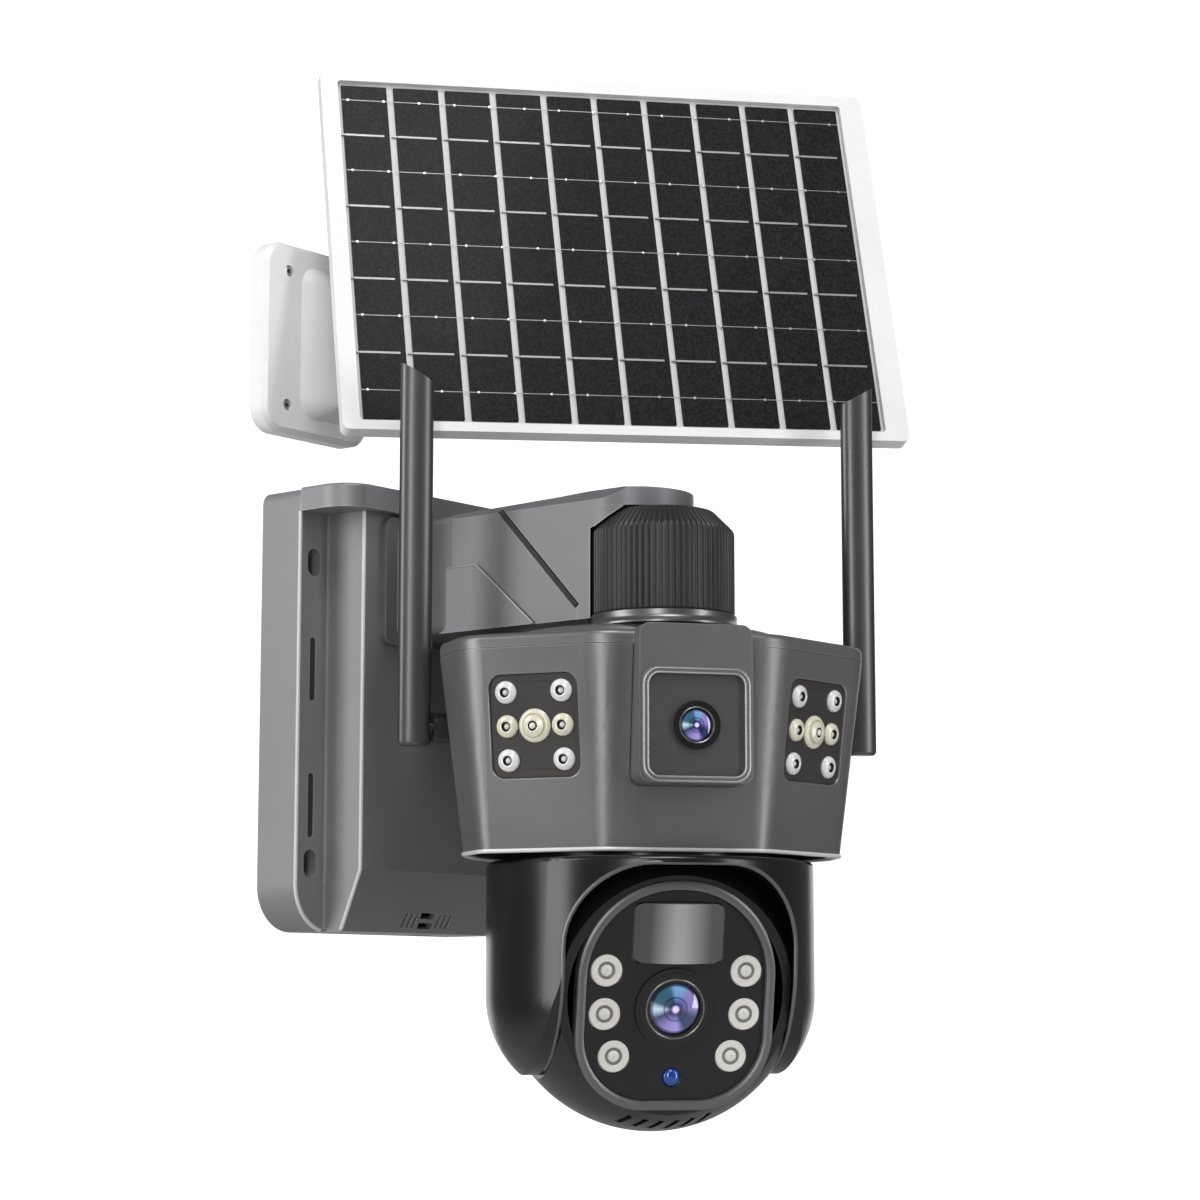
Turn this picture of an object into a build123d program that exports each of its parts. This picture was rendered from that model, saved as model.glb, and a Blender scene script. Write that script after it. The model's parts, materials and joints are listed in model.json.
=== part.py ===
from build123d import *
import math
import os

os.makedirs("parts", exist_ok=True)

# Solar security camera, in millimetres. X runs right along the wall as seen from the front, the wall
# is the plane Y = 0 with outward as -Y, and +Z is up. The origin is on the wall, on the battery box's
# centre line. Head, ball and panel are modelled facing -Y about their own axis, then placed.

# Battery box
BOX_W, BOX_TOP, BOX_BOTTOM = 128.0, 89.0, -83.5
REAR_D = 21.0
FRONT_W, FRONT_Y = 97.0, -40.5
GASKET_T = 1.0
HOOD_Y, HOOD_H = -47.0, 9.5
WALL_T = 2.5
POCKET_W, POCKET_H, POCKET_Z = 88.0, 150.0, -1.0
HOLE_X, HOLE_ROWS = 56.2, (-57.5, 60.0)
HOLE_W, HOLE_L = 7.0, 11.0
SLIT_W, SLIT_L, SLIT_ROWS = 3.2, 25.0, (-35.0, 18.0)
SLOPE_Z, SLOPE_D = -60.0, 10.0
UNDER_Y = -10.5
BUTTON_R, BUTTON_X, BUTTON_L = 5.0, 18.0, 6.0
GLAND_R, GLAND_Z, GLAND_BORE_R, LEAD_HOLE_R = 5.0, -8.0, 2.4, 3.0
CELL_R, CELL_L, CELL_X = 9.2, 65.0, (-20.0, 0.0, 20.0)

# Neck, about the vertical swivel axis in front of the box
NECK_Y = -150.0
POST_R, POST_BORE_R, POST_HEAD_R, POST_HEAD_H = 5.5, 3.0, 7.0, 2.5
KNOB_R, KNOB_Z0, KNOB_Z1, RIBS = 27.2, 33.3, 73.3, 52
KNOB_CHAMFER = 8.0
ARM_HALF_W, ARM_Z0, ARM_ROOT_TOP = 23.0, 32.0, 79.0
PLATE_Z0, PLATE_Z1 = 74.0, 81.0
PAD_W, PAD_H, PAD_Z = 79.0, 50.0, 53.0
ROOT_Y, BEAM_Y = -44.0, -64.0
SPLIT_TOP_Y, SPLIT_TOP_Z, SPLIT_BOTTOM_Y, SPLIT_BOTTOM_Z = -88.0, 78.0, -127.0, 37.0
GROOVE_W, GROOVE_D = 2.6, 1.2

# Head: pan axis behind the neck axis, along the way the head faces
HEAD_YAW = -37.0
NECK_FORWARD = 20.0
CROWN_Z0, CROWN_Z1, LID_Z, DOME_Z = -56.0, 18.3, 23.5, 28.0
CROWN_TAPER = 7.2
CROWN_T = 2.4
FACET_Y, FACET_HALF, SIDE_X, SIDE_Y = -58.0, 33.5, 78.5, -25.5
SIDE_END_X, CROWN_BACK_Y = 81.5, 70.0
DOME_R, DOME_Y, LID_CAVITY = 54.0, 8.0, 6.0
FLOOR_Z, FLOOR_T = -36.0, 3.0
BOX_HALF_W, LENS_Z0, LENS_Z1, LENS_Y, LENS_BACK = 21.2, -32.8, 25.0, -66.0, -40.0
WINDOW_W, WINDOW_H, WINDOW_Z, WINDOW_RIM = 36.0, 37.0, -11.9, 2.2
FIXED_LENS_R, FIXED_GLASS_R = 8.0, 6.3
LED_W, LED_H, LED_Z = 35.0, 38.0, -10.8

# Antennas
ANT_X, ANT_Y, ANT_PIVOT_Z = 89.0, 12.0, -7.5
ANT_W, ANT_T, ANT_TOP_Z, ANT_BELOW = 13.0, 8.0, 133.0, 7.0
HINGE_R, HINGE_PIN_R, PIN_IN_X = 5.5, 2.5, 66.0

# Pan yoke and tilt ball
YOKE_R, SHOULDER_Z, SHOULDER_T = 62.0, -58.3, 2.7
YOKE_NECK_R, YOKE_TOP_Z, YOKE_TOP_T = 45.6, -38.6, 3.0
BALL_Z, BALL_R = -100.5, 58.0
BALL_HALF_W, EAR_X = 43.4, 44.0
EAR_END_R, EAR_END_UP = 44.0, 7.0
EAR_ROUND_R, EAR_ROUND_Z = 40.0, -108.0
EAR_CAVITY_R, EAR_PLATE_T, EAR_CAVITY_X = 24.0, 2.5, 54.0
ARCH_R, ARCH_Y = 30.0, -41.0
FACE_Y, FACE_W, FACE_H, RING_W, RING_OUT = -37.5, 75.0, 85.0, 3.7, 1.4
LED_R, PTZ_R, PTZ_Z = 5.9, 14.5, -5.0
PIR_W, PIR_H, PIR_Z = 34.0, 22.0, 23.0
SENSOR_R, SENSOR_Z = 3.4, -30.4
TILT_REST = 12.0
AXLE_R = 6.0

# Gears
PAN_TEETH, PINION_TEETH, TILT_TEETH = 40, 12, 24
GEAR_MODULE = 1.0

# Solar panel and its bracket
PANEL_AT = (42.0, -92.2, 190.4)
PANEL_YAW, PANEL_TILT, PANEL_ROLL = -36.5, 15.3, 1.6
PANEL_W, PANEL_H, PANEL_D = 233.3, 163.7, 7.0
BORDER_L, BORDER_R, BORDER_T, BORDER_B = 7.0, 10.0, 5.0, 4.0
CELLS, GAP = 10, 2.8
SWIVEL_AT = (-26.0, -28.0, 151.5)
BRACKET_W, BRACKET_Z0, BRACKET_Z1, BRACKET_X = 60.0, 113.0, 190.0, -42.3
BRACKET_T, BRACKET_HOLE_X, BRACKET_HOLE_Z, BRACKET_HOLE_R = 8.0, 17.0, 27.2, 2.3

NECK = Location((0, NECK_Y, 0))
YAW = math.radians(HEAD_YAW)
PAN_XY = (-NECK_FORWARD * math.sin(YAW), NECK_Y + NECK_FORWARD * math.cos(YAW))
HEAD = Location((PAN_XY[0], PAN_XY[1], 0), (0, 0, HEAD_YAW))
BALL = HEAD * Location((0, 0, BALL_Z), (TILT_REST, 0, 0))
PANEL_LEVEL = Location((0, 0, 0), (0, 0, PANEL_YAW)) * Location((0, 0, 0), (0, -PANEL_ROLL, 0))
PANEL = Location(PANEL_AT) * PANEL_LEVEL * Location((0, 0, 0), (-PANEL_TILT, 0, 0))
NECK_IN_HEAD = (0.0, -NECK_FORWARD)

BOX_H, BOX_MID = BOX_TOP - BOX_BOTTOM, (BOX_TOP + BOX_BOTTOM) / 2

nodes = {}


def block(x0, x1, y0, y1, z0, z1):
    centre = Pos((x0 + x1) / 2, (y0 + y1) / 2, (z0 + z1) / 2)
    return centre * Box(abs(x1 - x0), abs(y1 - y0), abs(z1 - z0))


def rod(radius, start, length, axis=(0, 0, 1)):
    plane = Plane(origin=start, z_dir=axis)
    return plane * Cylinder(radius, length, align=(Align.CENTER, Align.CENTER, Align.MIN))


def slab(width, height, radius, y0, y1, x=0.0, z=0.0):
    """A rounded plate facing -Y, from y0 forward to y1."""
    face = Plane(origin=(x, y0, z), x_dir=(1, 0, 0), z_dir=(0, -1, 0))
    return extrude(face * RectangleRounded(width, height, radius), y0 - y1)


def side_profile(points, half_width):
    """A solid whose outline is given as (y, z) points and which spans +-half_width in X."""
    outline = Polyline(*[(0, y, z) for y, z in points], close=True)
    return extrude(make_face(outline), half_width, dir=(1, 0, 0), both=True)


def gear(teeth, module, thickness, bore, phase=0.0):
    """A spur gear about Z with straight-flanked teeth thinned for running clearance."""
    pitch = teeth * module / 2
    root, tip = pitch - 1.25 * module, pitch + 0.75 * module
    step = 2 * math.pi / teeth
    points = []
    for tooth in range(teeth):
        centre = tooth * step + phase
        for radius, share in ((root, -0.30), (tip, -0.11), (tip, 0.11), (root, 0.30)):
            angle = centre + share * step
            points.append((radius * math.cos(angle), radius * math.sin(angle)))
    disc = extrude(make_face(Polyline(*points, close=True)), thickness)
    return disc - rod(bore, (0, 0, 0), thickness)


def keep(name, shape, place=Location()):
    nodes[name] = place * shape


# ---------------------------------------------------------------- battery box
def rear_case():
    face = Plane(origin=(0, 0, BOX_MID), x_dir=(1, 0, 0), z_dir=(0, -1, 0))
    outline = Rectangle(BOX_W, BOX_H)
    outline = fillet(outline.vertices().sort_by(Axis.Y)[:2], 18)
    outline = fillet(outline.vertices().sort_by(Axis.Y)[-2:], 5)
    case = extrude(face * outline, REAR_D)
    case -= slab(POCKET_W, POCKET_H, 5, -WALL_T, -REAR_D, z=POCKET_Z)
    flange = Plane(origin=(0, 0, 0), x_dir=(1, 0, 0), z_dir=(0, -1, 0))
    for side in (-1, 1):
        for rows, length, width in ((HOLE_ROWS, HOLE_L, HOLE_W), (SLIT_ROWS, SLIT_L, SLIT_W)):
            for row in rows:
                slot = Pos(side * HOLE_X, row) * Rot(0, 0, 90) * SlotOverall(length, width)
                case -= extrude(flange * slot, REAR_D)
    case -= rod(BUTTON_R + 0.08, (BUTTON_X, UNDER_Y, BOX_BOTTOM - 1), 10)
    case -= rod(GLAND_R, (BOX_W / 2 - 8, UNDER_Y, GLAND_Z), 9, (1, 0, 0))
    case -= rod(LEAD_HOLE_R, (POCKET_W / 2 - 1, UNDER_Y, GLAND_Z), 14, (1, 0, 0))
    for x in (-34, 34):
        for z in (32, 62):
            case += rod(2.2, (x, -WALL_T, z), 4, (0, -1, 0))
    return case


def front_case():
    y0, y1, top, bottom = -REAR_D - GASKET_T, FRONT_Y, BOX_TOP - HOOD_H, BOX_BOTTOM
    t = WALL_T
    outer = [(y0, top), (y1, top), (y1, SLOPE_Z), (y1 + SLOPE_D, bottom), (y0, bottom)]
    inner = [(y0, top - t), (y1 + t, top - t), (y1 + t, SLOPE_Z)]
    inner += [(y1 + SLOPE_D + t, bottom + t), (y0, bottom + t)]
    case = side_profile(outer, FRONT_W / 2) - side_profile(inner, FRONT_W / 2 - t)
    slope = math.atan2(SLOPE_D, SLOPE_Z - bottom)
    normal = (0, -math.cos(slope), -math.sin(slope))
    face = Plane(origin=(-2, y1 + SLOPE_D / 2, (SLOPE_Z + bottom) / 2), x_dir=(1, 0, 0), z_dir=normal)
    for side in (-1, 1):
        for count in range(3):
            at = Pos(side * (6.8 + 3.0 * count), -7.5) * Rot(0, 0, 78)
            case -= extrude(face * at * SlotOverall(6.5, 1.3), WALL_T * 3, both=True)
    for row in (-9.6, -5.4):
        case -= extrude(face * Pos(0, row) * Rectangle(8.5, 2.6), WALL_T * 3, both=True)
    return case


keep("rear_case", rear_case())
keep("front_case", front_case())

gasket_z = BOX_MID - HOOD_H / 2
gasket = slab(96, BOX_H - HOOD_H - 1, 6, -REAR_D, -REAR_D - GASKET_T, z=gasket_z)
gasket -= slab(92.4, BOX_H - HOOD_H - 4.6, 5, -REAR_D, -REAR_D - GASKET_T, z=gasket_z)
keep("case_gasket", gasket)

hood_face = Plane(origin=(0, 0, BOX_TOP - HOOD_H))
hood_sketch = Pos(0, (HOOD_Y - REAR_D) / 2) * Rectangle(BOX_W, -HOOD_Y - REAR_D)
hood_sketch = fillet(hood_sketch.vertices().sort_by(Axis.Y)[:2], 14)
hood = extrude(hood_face * hood_sketch, HOOD_H)
keep("rain_hood", fillet(hood.edges().filter_by(Plane.XY).sort_by(Axis.Z)[-5:-1], 1.5))

CELL_Y, CELL_Z0 = -REAR_D - 0.5, -52.0
cells = [rod(CELL_R, (x, CELL_Y, CELL_Z0), CELL_L) for x in CELL_X]
keep("battery_cells", Compound(cells))

tray = block(-31, 31, -WALL_T, -CELL_R * 2 - 7, CELL_Z0 - 3, CELL_Z0 + CELL_L + 3)
for x in CELL_X:
    tray -= rod(CELL_R + 0.05, (x, CELL_Y, CELL_Z0), CELL_L)
keep("battery_holder", tray)

keep("charge_board", block(-38, 38, -WALL_T - 4, -WALL_T - 5.6, 28, 66))

side_x = BOX_W / 2
gland = rod(GLAND_R, (side_x - 7, UNDER_Y, GLAND_Z), 7, (1, 0, 0))
gland += rod(8, (side_x, UNDER_Y, GLAND_Z), 3, (1, 0, 0))
gland += rod(6.5, (side_x + 3, UNDER_Y, GLAND_Z), 6, (1, 0, 0))
gland -= rod(GLAND_BORE_R, (side_x - 7, UNDER_Y, GLAND_Z), 16, (1, 0, 0))
keep("cable_gland", gland)

button = rod(BUTTON_R, (BUTTON_X, UNDER_Y, BOX_BOTTOM), BUTTON_L)
keep("power_button", button)

# ---------------------------------------------------------------- arm
NOTCH_GAP = 1.2
PANEL_STEP, PANEL_TOP = 1.2, 57.5


def arm():
    pad = slab(PAD_W, PAD_H, 4, FRONT_Y, ROOT_Y, z=PAD_Z)
    front = Plane(origin=(0, ROOT_Y, PAD_Z), x_dir=(1, 0, 0), z_dir=(0, -1, 0))
    back = Plane(origin=(0, BEAM_Y, (ARM_Z0 + ARM_ROOT_TOP) / 2), x_dir=(1, 0, 0), z_dir=(0, -1, 0))
    root_h = ARM_ROOT_TOP - ARM_Z0
    flare = loft([front * RectangleRounded(66, 44, 4), back * RectangleRounded(2 * ARM_HALF_W, root_h, 3)])
    top_y = NECK_Y + 20
    outline = [(BEAM_Y, ARM_Z0), (BEAM_Y, ARM_ROOT_TOP), (top_y, PLATE_Z1), (NECK_Y - 20, PLATE_Z1)]
    beam = side_profile(outline + [(NECK_Y - 20, ARM_Z0)], ARM_HALF_W)
    for side in (-1, 1):
        corner = Pos(side * ARM_HALF_W, (BEAM_Y + NECK_Y) / 2 - 5, PLATE_Z1 - 0.5) * Rot(0, 45, 0)
        beam -= corner * Box(5, BEAM_Y - NECK_Y + 20, 5)
    end_y = NECK_Y + 14
    plan = Pos(0, (BEAM_Y + end_y) / 2) * Rectangle(2 * ARM_HALF_W, BEAM_Y - end_y)
    lower = extrude(Plane(origin=(0, 0, ARM_Z0)) * plan, PLATE_Z0 - ARM_Z0)
    notch = rod(KNOB_R + NOTCH_GAP, (0, NECK_Y, ARM_Z0), PLATE_Z0 - ARM_Z0)
    lower -= chamfer(notch.edges().sort_by(Axis.Z)[-1], KNOB_CHAMFER)
    top_plan = plan + Pos(0, end_y) * Circle(ARM_HALF_W)
    upper = extrude(Plane(origin=(0, 0, PLATE_Z0)) * top_plan, PLATE_Z1 - PLATE_Z0)
    step = [(BEAM_Y + 6, PANEL_TOP), (BEAM_Y - 13, PANEL_TOP), (BEAM_Y - 42, ARM_Z0), (BEAM_Y + 6, ARM_Z0)]
    whole = pad + flare + ((lower + upper) & beam) + side_profile(step, ARM_HALF_W + PANEL_STEP)
    whole -= rod(POST_R, (0, NECK_Y, PLATE_Z0), PLATE_Z1 - PLATE_Z0)
    whole -= rod(POST_HEAD_R, (0, NECK_Y, PLATE_Z1 - POST_HEAD_H), POST_HEAD_H)
    return whole


def joint_groove():
    """The sunk line that hides the joint between the two arm castings, on both flanks."""
    run_y, run_z = SPLIT_BOTTOM_Y - SPLIT_TOP_Y, SPLIT_BOTTOM_Z - SPLIT_TOP_Z
    half = GROOVE_W / 2 / math.hypot(run_y, run_z)
    side_y, side_z = -run_z * half, run_y * half
    top, bottom = (SPLIT_TOP_Y, SPLIT_TOP_Z), (SPLIT_BOTTOM_Y, SPLIT_BOTTOM_Z)
    corners = [(y + s * side_y, z + s * side_z) for (y, z), s in ((top, 1), (top, -1), (bottom, -1), (bottom, 1))]
    return side_profile(corners, 60) - side_profile(corners, ARM_HALF_W - GROOVE_D)


arm_whole = arm() - joint_groove()
split = [(SPLIT_TOP_Y, 90), (SPLIT_TOP_Y, SPLIT_TOP_Z), (SPLIT_BOTTOM_Y, SPLIT_BOTTOM_Z), (SPLIT_BOTTOM_Y, 25)]
forward = side_profile(split + [(-200, 25), (-200, 90)], 60)
keep("arm_root", arm_whole - forward)
keep("arm_boom", arm_whole & forward)

NUT_H = 4.0
NUT_Z = CROWN_Z1 + LID_CAVITY - NUT_H - 0.1
post = rod(POST_R, (0, 0, NUT_Z), PLATE_Z1 - NUT_Z)
post += rod(POST_HEAD_R, (0, 0, PLATE_Z1 - POST_HEAD_H), POST_HEAD_H)
keep("neck_post", post - rod(POST_BORE_R, (0, 0, NUT_Z), 80), NECK)
neck_nut = extrude(RegularPolygon(9, 6), NUT_H) - rod(POST_R, (0, 0, 0), NUT_H)
keep("neck_nut", Pos(0, 0, NUT_Z) * neck_nut, NECK)

# ---------------------------------------------------------------- swivel knob and collar
ribbed = Circle(KNOB_R)
for rib in PolarLocations(KNOB_R + 0.2, RIBS):
    ribbed -= rib * Circle(0.9)
knob = extrude(ribbed, KNOB_Z1 - KNOB_Z0)
envelope = rod(KNOB_R, (0, 0, 0), KNOB_Z1 - KNOB_Z0)
envelope = chamfer(envelope.edges().sort_by(Axis.Z)[-1], KNOB_CHAMFER)
knob = (knob & envelope) - rod(POST_R + 0.06, (0, 0, 0), KNOB_Z1 - KNOB_Z0)
keep("swivel_knob", Pos(0, 0, KNOB_Z0) * knob, NECK)
collar = rod(28, (0, 0, DOME_Z), KNOB_Z0 - DOME_Z)
collar = chamfer(collar.edges().sort_by(Axis.Z)[-1], 2.2) - rod(POST_R + 0.06, (0, 0, DOME_Z), 10)
keep("neck_collar", collar, NECK)


# ---------------------------------------------------------------- crown (upper head)
def crown_outline():
    right = [(FACET_HALF, FACET_Y), (SIDE_X, SIDE_Y), (SIDE_END_X, 0)]
    left = [(-x, y) for x, y in reversed(right)]
    front = Polyline(*left, *right)
    back = ThreePointArc(right[-1], (0, CROWN_BACK_Y), left[0])
    face = make_face([*front.edges(), back])
    front_corners = face.vertices().sort_by(Axis.Y)[:2]
    face = fillet(front_corners, 22)
    side_corners = [v for v in face.vertices() if abs(v.Y - SIDE_Y) < 1]
    return fillet(side_corners, 18)


def crown_block(inset):
    outline = crown_outline()
    if inset:
        outline = offset(outline, -inset, kind=Kind.INTERSECTION)
    top = Plane(origin=(0, 0, CROWN_Z1)) * outline
    return extrude(top, CROWN_Z1 - CROWN_Z0, dir=(0, 0, -1), taper=CROWN_TAPER)


LENS_MID_Z = (LENS_Z0 + LENS_Z1) / 2
lens_envelope = slab(2 * BOX_HALF_W, LENS_Z1 - LENS_Z0, 4, LENS_BACK, LENS_Y, z=LENS_MID_Z)
FACET_ANGLE = math.atan2(SIDE_Y - FACET_Y, SIDE_X - FACET_HALF)
TAPER = math.radians(CROWN_TAPER)


def facet_plane(side):
    """A plane on the outside of a side facet, x to the right and y up, looking out of the crown."""
    inward = (CROWN_Z1 - LED_Z) * math.tan(TAPER)
    out_x, out_y = side * math.sin(FACET_ANGLE), -math.cos(FACET_ANGLE)
    middle_x, middle_y = side * (FACET_HALF + SIDE_X) / 2, (FACET_Y + SIDE_Y) / 2
    origin = (middle_x - out_x * inward, middle_y - out_y * inward, LED_Z)
    normal = (out_x * math.cos(TAPER), out_y * math.cos(TAPER), -math.sin(TAPER))
    across = (math.cos(FACET_ANGLE), side * math.sin(FACET_ANGLE), 0)
    return Plane(origin=origin, x_dir=across, z_dir=normal)


solid_crown = crown_block(0)
hollow_crown = crown_block(CROWN_T)
crown = solid_crown - hollow_crown - lens_envelope
for side in (-1, 1):
    pocket = extrude(facet_plane(side) * RectangleRounded(LED_W, LED_H, 5), 8, both=True)
    crown -= pocket

lid = extrude(Plane(origin=(0, 0, CROWN_Z1)) * crown_outline(), LID_Z - CROWN_Z1)
lid = fillet(lid.edges().group_by(Axis.Z)[-1], 2.5)
dome = rod(DOME_R, (0, DOME_Y, LID_Z), DOME_Z - LID_Z)
dome = fillet(dome.edges().sort_by(Axis.Z)[-1], 3.5)
lid = lid + dome - rod(DOME_R - 4, (0, DOME_Y, CROWN_Z1), LID_CAVITY) - lens_envelope
lid -= rod(POST_R + 0.06, (*NECK_IN_HEAD, CROWN_Z1), 20)
keep("crown_lid", lid, HEAD)

inner_w, inner_h = 2 * BOX_HALF_W - 4.4, LENS_Z1 - LENS_Z0 - 4.4
rim_w, rim_h = WINDOW_W + 2 * WINDOW_RIM, WINDOW_H + 2 * WINDOW_RIM
lens_box = lens_envelope - slab(inner_w, inner_h, 3, LENS_BACK, LENS_Y + 2.4, z=LENS_MID_Z)
lens_box += slab(rim_w, rim_h, 5, LENS_Y + 0.5, LENS_Y - 0.9, z=WINDOW_Z)
lens_box -= slab(WINDOW_W, WINDOW_H, 4, LENS_BACK, LENS_Y - 1, z=WINDOW_Z)
keep("lens_box", lens_box, HEAD)

window = slab(WINDOW_W, WINDOW_H, 4, LENS_Y + 3.0, LENS_Y + 0.8, z=WINDOW_Z)
window -= rod(FIXED_LENS_R, (0, LENS_BACK, WINDOW_Z), 40, (0, -1, 0))
keep("fixed_window", window, HEAD)
barrel = rod(FIXED_LENS_R, (0, -46, WINDOW_Z), 20.4, (0, -1, 0))
barrel -= rod(FIXED_GLASS_R, (0, -60, WINDOW_Z), 10, (0, -1, 0))
keep("fixed_lens_barrel", barrel, HEAD)
keep("fixed_lens_glass", rod(FIXED_GLASS_R, (0, -60, WINDOW_Z), 5.2, (0, -1, 0)), HEAD)

led_spots = [(0, 0, 6.2)]
led_spots += [(side * 11.0, row * 12.5, 4.2) for side in (-1, 1) for row in (-1, 0, 1)]
led_panels = []
led_lamps = []
for side in (-1, 1):
    plane = facet_plane(side).offset(-3.2)
    panel = extrude(plane * RectangleRounded(LED_W, LED_H, 5), 2.4)
    for x, y, radius in led_spots:
        panel -= extrude(plane * Pos(x, y) * Circle(radius), 2.4)
        led_lamps.append(extrude(plane * Pos(x, y) * Circle(radius), 2.0))
    led_panels.append(panel)
keep("led_panels", Compound(led_panels), HEAD)
keep("led_emitters", Compound(led_lamps), HEAD)

floor = crown_block(CROWN_T + 0.02) & block(-90, 90, -90, 90, FLOOR_Z, FLOOR_Z + FLOOR_T)
HUB_R, HUB_BORE_R = 13.0, 8.0
floor -= rod(HUB_R + 0.06, (0, 0, FLOOR_Z), FLOOR_T)
floor_top = FLOOR_Z + FLOOR_T
PINION_DISTANCE = (PAN_TEETH + PINION_TEETH) * GEAR_MODULE / 2
PINION_AT = (-PINION_DISTANCE * math.sin(math.radians(40)), PINION_DISTANCE * math.cos(math.radians(40)))

MOTOR_Z = floor_top + 7.0
motor = rod(12, (*PINION_AT, MOTOR_Z + 2), 15) - rod(1.56, (*PINION_AT, MOTOR_Z + 2), 8)
keep("pan_motor", motor, HEAD)
leg_x0, leg_y0, leg_y1 = PINION_AT[0] - 20, PINION_AT[1] - 9, PINION_AT[1] + 9
bracket = block(leg_x0, PINION_AT[0] + 12, leg_y0, leg_y1, MOTOR_Z, MOTOR_Z + 2)
bracket -= rod(1.9, (*PINION_AT, MOTOR_Z), 2)
bracket += block(leg_x0, leg_x0 + 3, leg_y0, leg_y1, floor_top, MOTOR_Z)
floor += bracket
pinion = gear(PINION_TEETH, GEAR_MODULE, 5.0, 0.5, phase=math.radians(-50)) + rod(1.5, (0, 0, 0), 12.5)
keep("pan_pinion", Pos(*PINION_AT, floor_top + 0.6) * pinion, HEAD)

keep("main_board", block(-34, 34, -34, 42, 8, 9.6), HEAD)
for x, y in ((-31, -30), (31, -30), (31, 26), (31, 4)):
    floor += rod(2.5, (x, y, floor_top), 8 - floor_top)
keep("crown_floor", floor, HEAD)
speaker = rod(14, (24, 44, floor_top + 15), 6, (0, -1, 0)) + block(10, 38, 44, 46, floor_top, -4)
keep("speaker", speaker, HEAD)

# ---------------------------------------------------------------- antennas
hinges = []
for side, word in ((-1, "left"), (1, "right")):
    axis = (side, 0, 0)
    inner_x, outer_x = ANT_X - ANT_W / 2, ANT_X + ANT_W / 2
    boss = rod(HINGE_R, (side * PIN_IN_X, ANT_Y, ANT_PIVOT_Z), inner_x - 0.4 - PIN_IN_X, axis) - solid_crown
    pin = rod(HINGE_PIN_R, (side * PIN_IN_X, ANT_Y, ANT_PIVOT_Z), ANT_X + 1 - PIN_IN_X, axis)
    crown -= pin
    hinges.append(boss + (pin - hollow_crown))
    foot = Plane(origin=(side * ANT_X, ANT_Y, ANT_PIVOT_Z - ANT_BELOW))
    blade = extrude(foot * RectangleRounded(ANT_W, ANT_T, 3.6), ANT_TOP_Z - ANT_PIVOT_Z + ANT_BELOW)
    tip = Polyline(
        (side * (inner_x - 1), 0, ANT_TOP_Z - 7), (side * (inner_x - 1), 0, ANT_TOP_Z + 2),
        (side * outer_x, 0, ANT_TOP_Z + 2), close=True,
    )
    blade -= extrude(make_face(tip), 30, dir=(0, 1, 0), both=True)
    bore = rod(HINGE_PIN_R + 0.06, (side * (inner_x - 1), ANT_Y, ANT_PIVOT_Z), ANT_W / 2 + 3, axis)
    keep(f"antenna_{word}", blade - bore, HEAD)
keep("antenna_hinges", Compound(hinges), HEAD)
keep("crown_shell", crown, HEAD)

# ---------------------------------------------------------------- pan yoke
def yoke():
    bottom = BALL_Z + EAR_END_UP - EAR_END_R
    roof_z = SHOULDER_Z - SHOULDER_T
    round_x = YOKE_R - EAR_ROUND_R
    drop = EAR_ROUND_Z - bottom
    foot_x = round_x + math.sqrt(EAR_ROUND_R ** 2 - drop ** 2)
    half = EAR_ROUND_R * math.sin(math.asin(drop / EAR_ROUND_R) / 2)
    bend_x = round_x + math.sqrt(EAR_ROUND_R ** 2 - half ** 2)
    skin = Polyline((foot_x, 0, bottom), (0, 0, bottom), (0, 0, SHOULDER_Z), (YOKE_R, 0, SHOULDER_Z),
                    (YOKE_R, 0, EAR_ROUND_Z))
    curve = ThreePointArc((YOKE_R, 0, EAR_ROUND_Z), (bend_x, 0, EAR_ROUND_Z - half), (foot_x, 0, bottom))
    shell = revolve(make_face([*skin.edges(), curve]), Axis.Z)
    shell = fillet(shell.edges().sort_by(Axis.Z)[-1], 2)
    shell -= block(-EAR_X, EAR_X, -90, 90, bottom - 1, roof_z)
    for side in (-1, 1):
        end_z = BALL_Z + EAR_END_UP
        end = rod(EAR_END_R, (side * (EAR_X - 2), 0, end_z), 40, (side, 0, 0))
        shell -= block(side * (EAR_X - 1), side * 80, -90, 90, bottom - 1, end_z) - end
        in_x, out_x = side * (EAR_X - ARCH_R), side * (EAR_X + 0.5)
        corner = block(in_x, out_x, -90, ARCH_Y, roof_z - ARCH_R, roof_z + 0.5)
        corner -= rod(ARCH_R, (in_x, 0, roof_z - ARCH_R), 99, (0, -1, 0))
        shell += corner & rod(YOKE_R, (0, 0, roof_z - ARCH_R), ARCH_R + 0.5)
    wall_z0 = BALL_Z - 12
    wall = rod(YOKE_R, (0, 0, wall_z0), SHOULDER_Z - 2.5 - wall_z0)
    wall -= rod(YOKE_R - 2.6, (0, 0, wall_z0), SHOULDER_Z - 2.5 - wall_z0)
    shell += wall & block(-EAR_X - 1, EAR_X + 1, 20, 90, wall_z0, SHOULDER_Z)
    shell += rod(YOKE_NECK_R, (0, 0, SHOULDER_Z - 1), YOKE_TOP_Z - SHOULDER_Z + 1)
    shell -= rod(YOKE_NECK_R - 2.4, (0, 0, roof_z - 1), YOKE_TOP_Z - YOKE_TOP_T - roof_z + 1)
    for side in (-1, 1):
        shell -= rod(EAR_CAVITY_R, (side * EAR_X, 0, BALL_Z), EAR_CAVITY_X - EAR_X, (side, 0, 0))
    shell += rod(HUB_R, (0, 0, YOKE_TOP_Z), 11.2)
    return shell - rod(HUB_BORE_R, (0, 0, YOKE_TOP_Z - 5), 20)


keep("yoke_shell", yoke(), HEAD)

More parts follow.
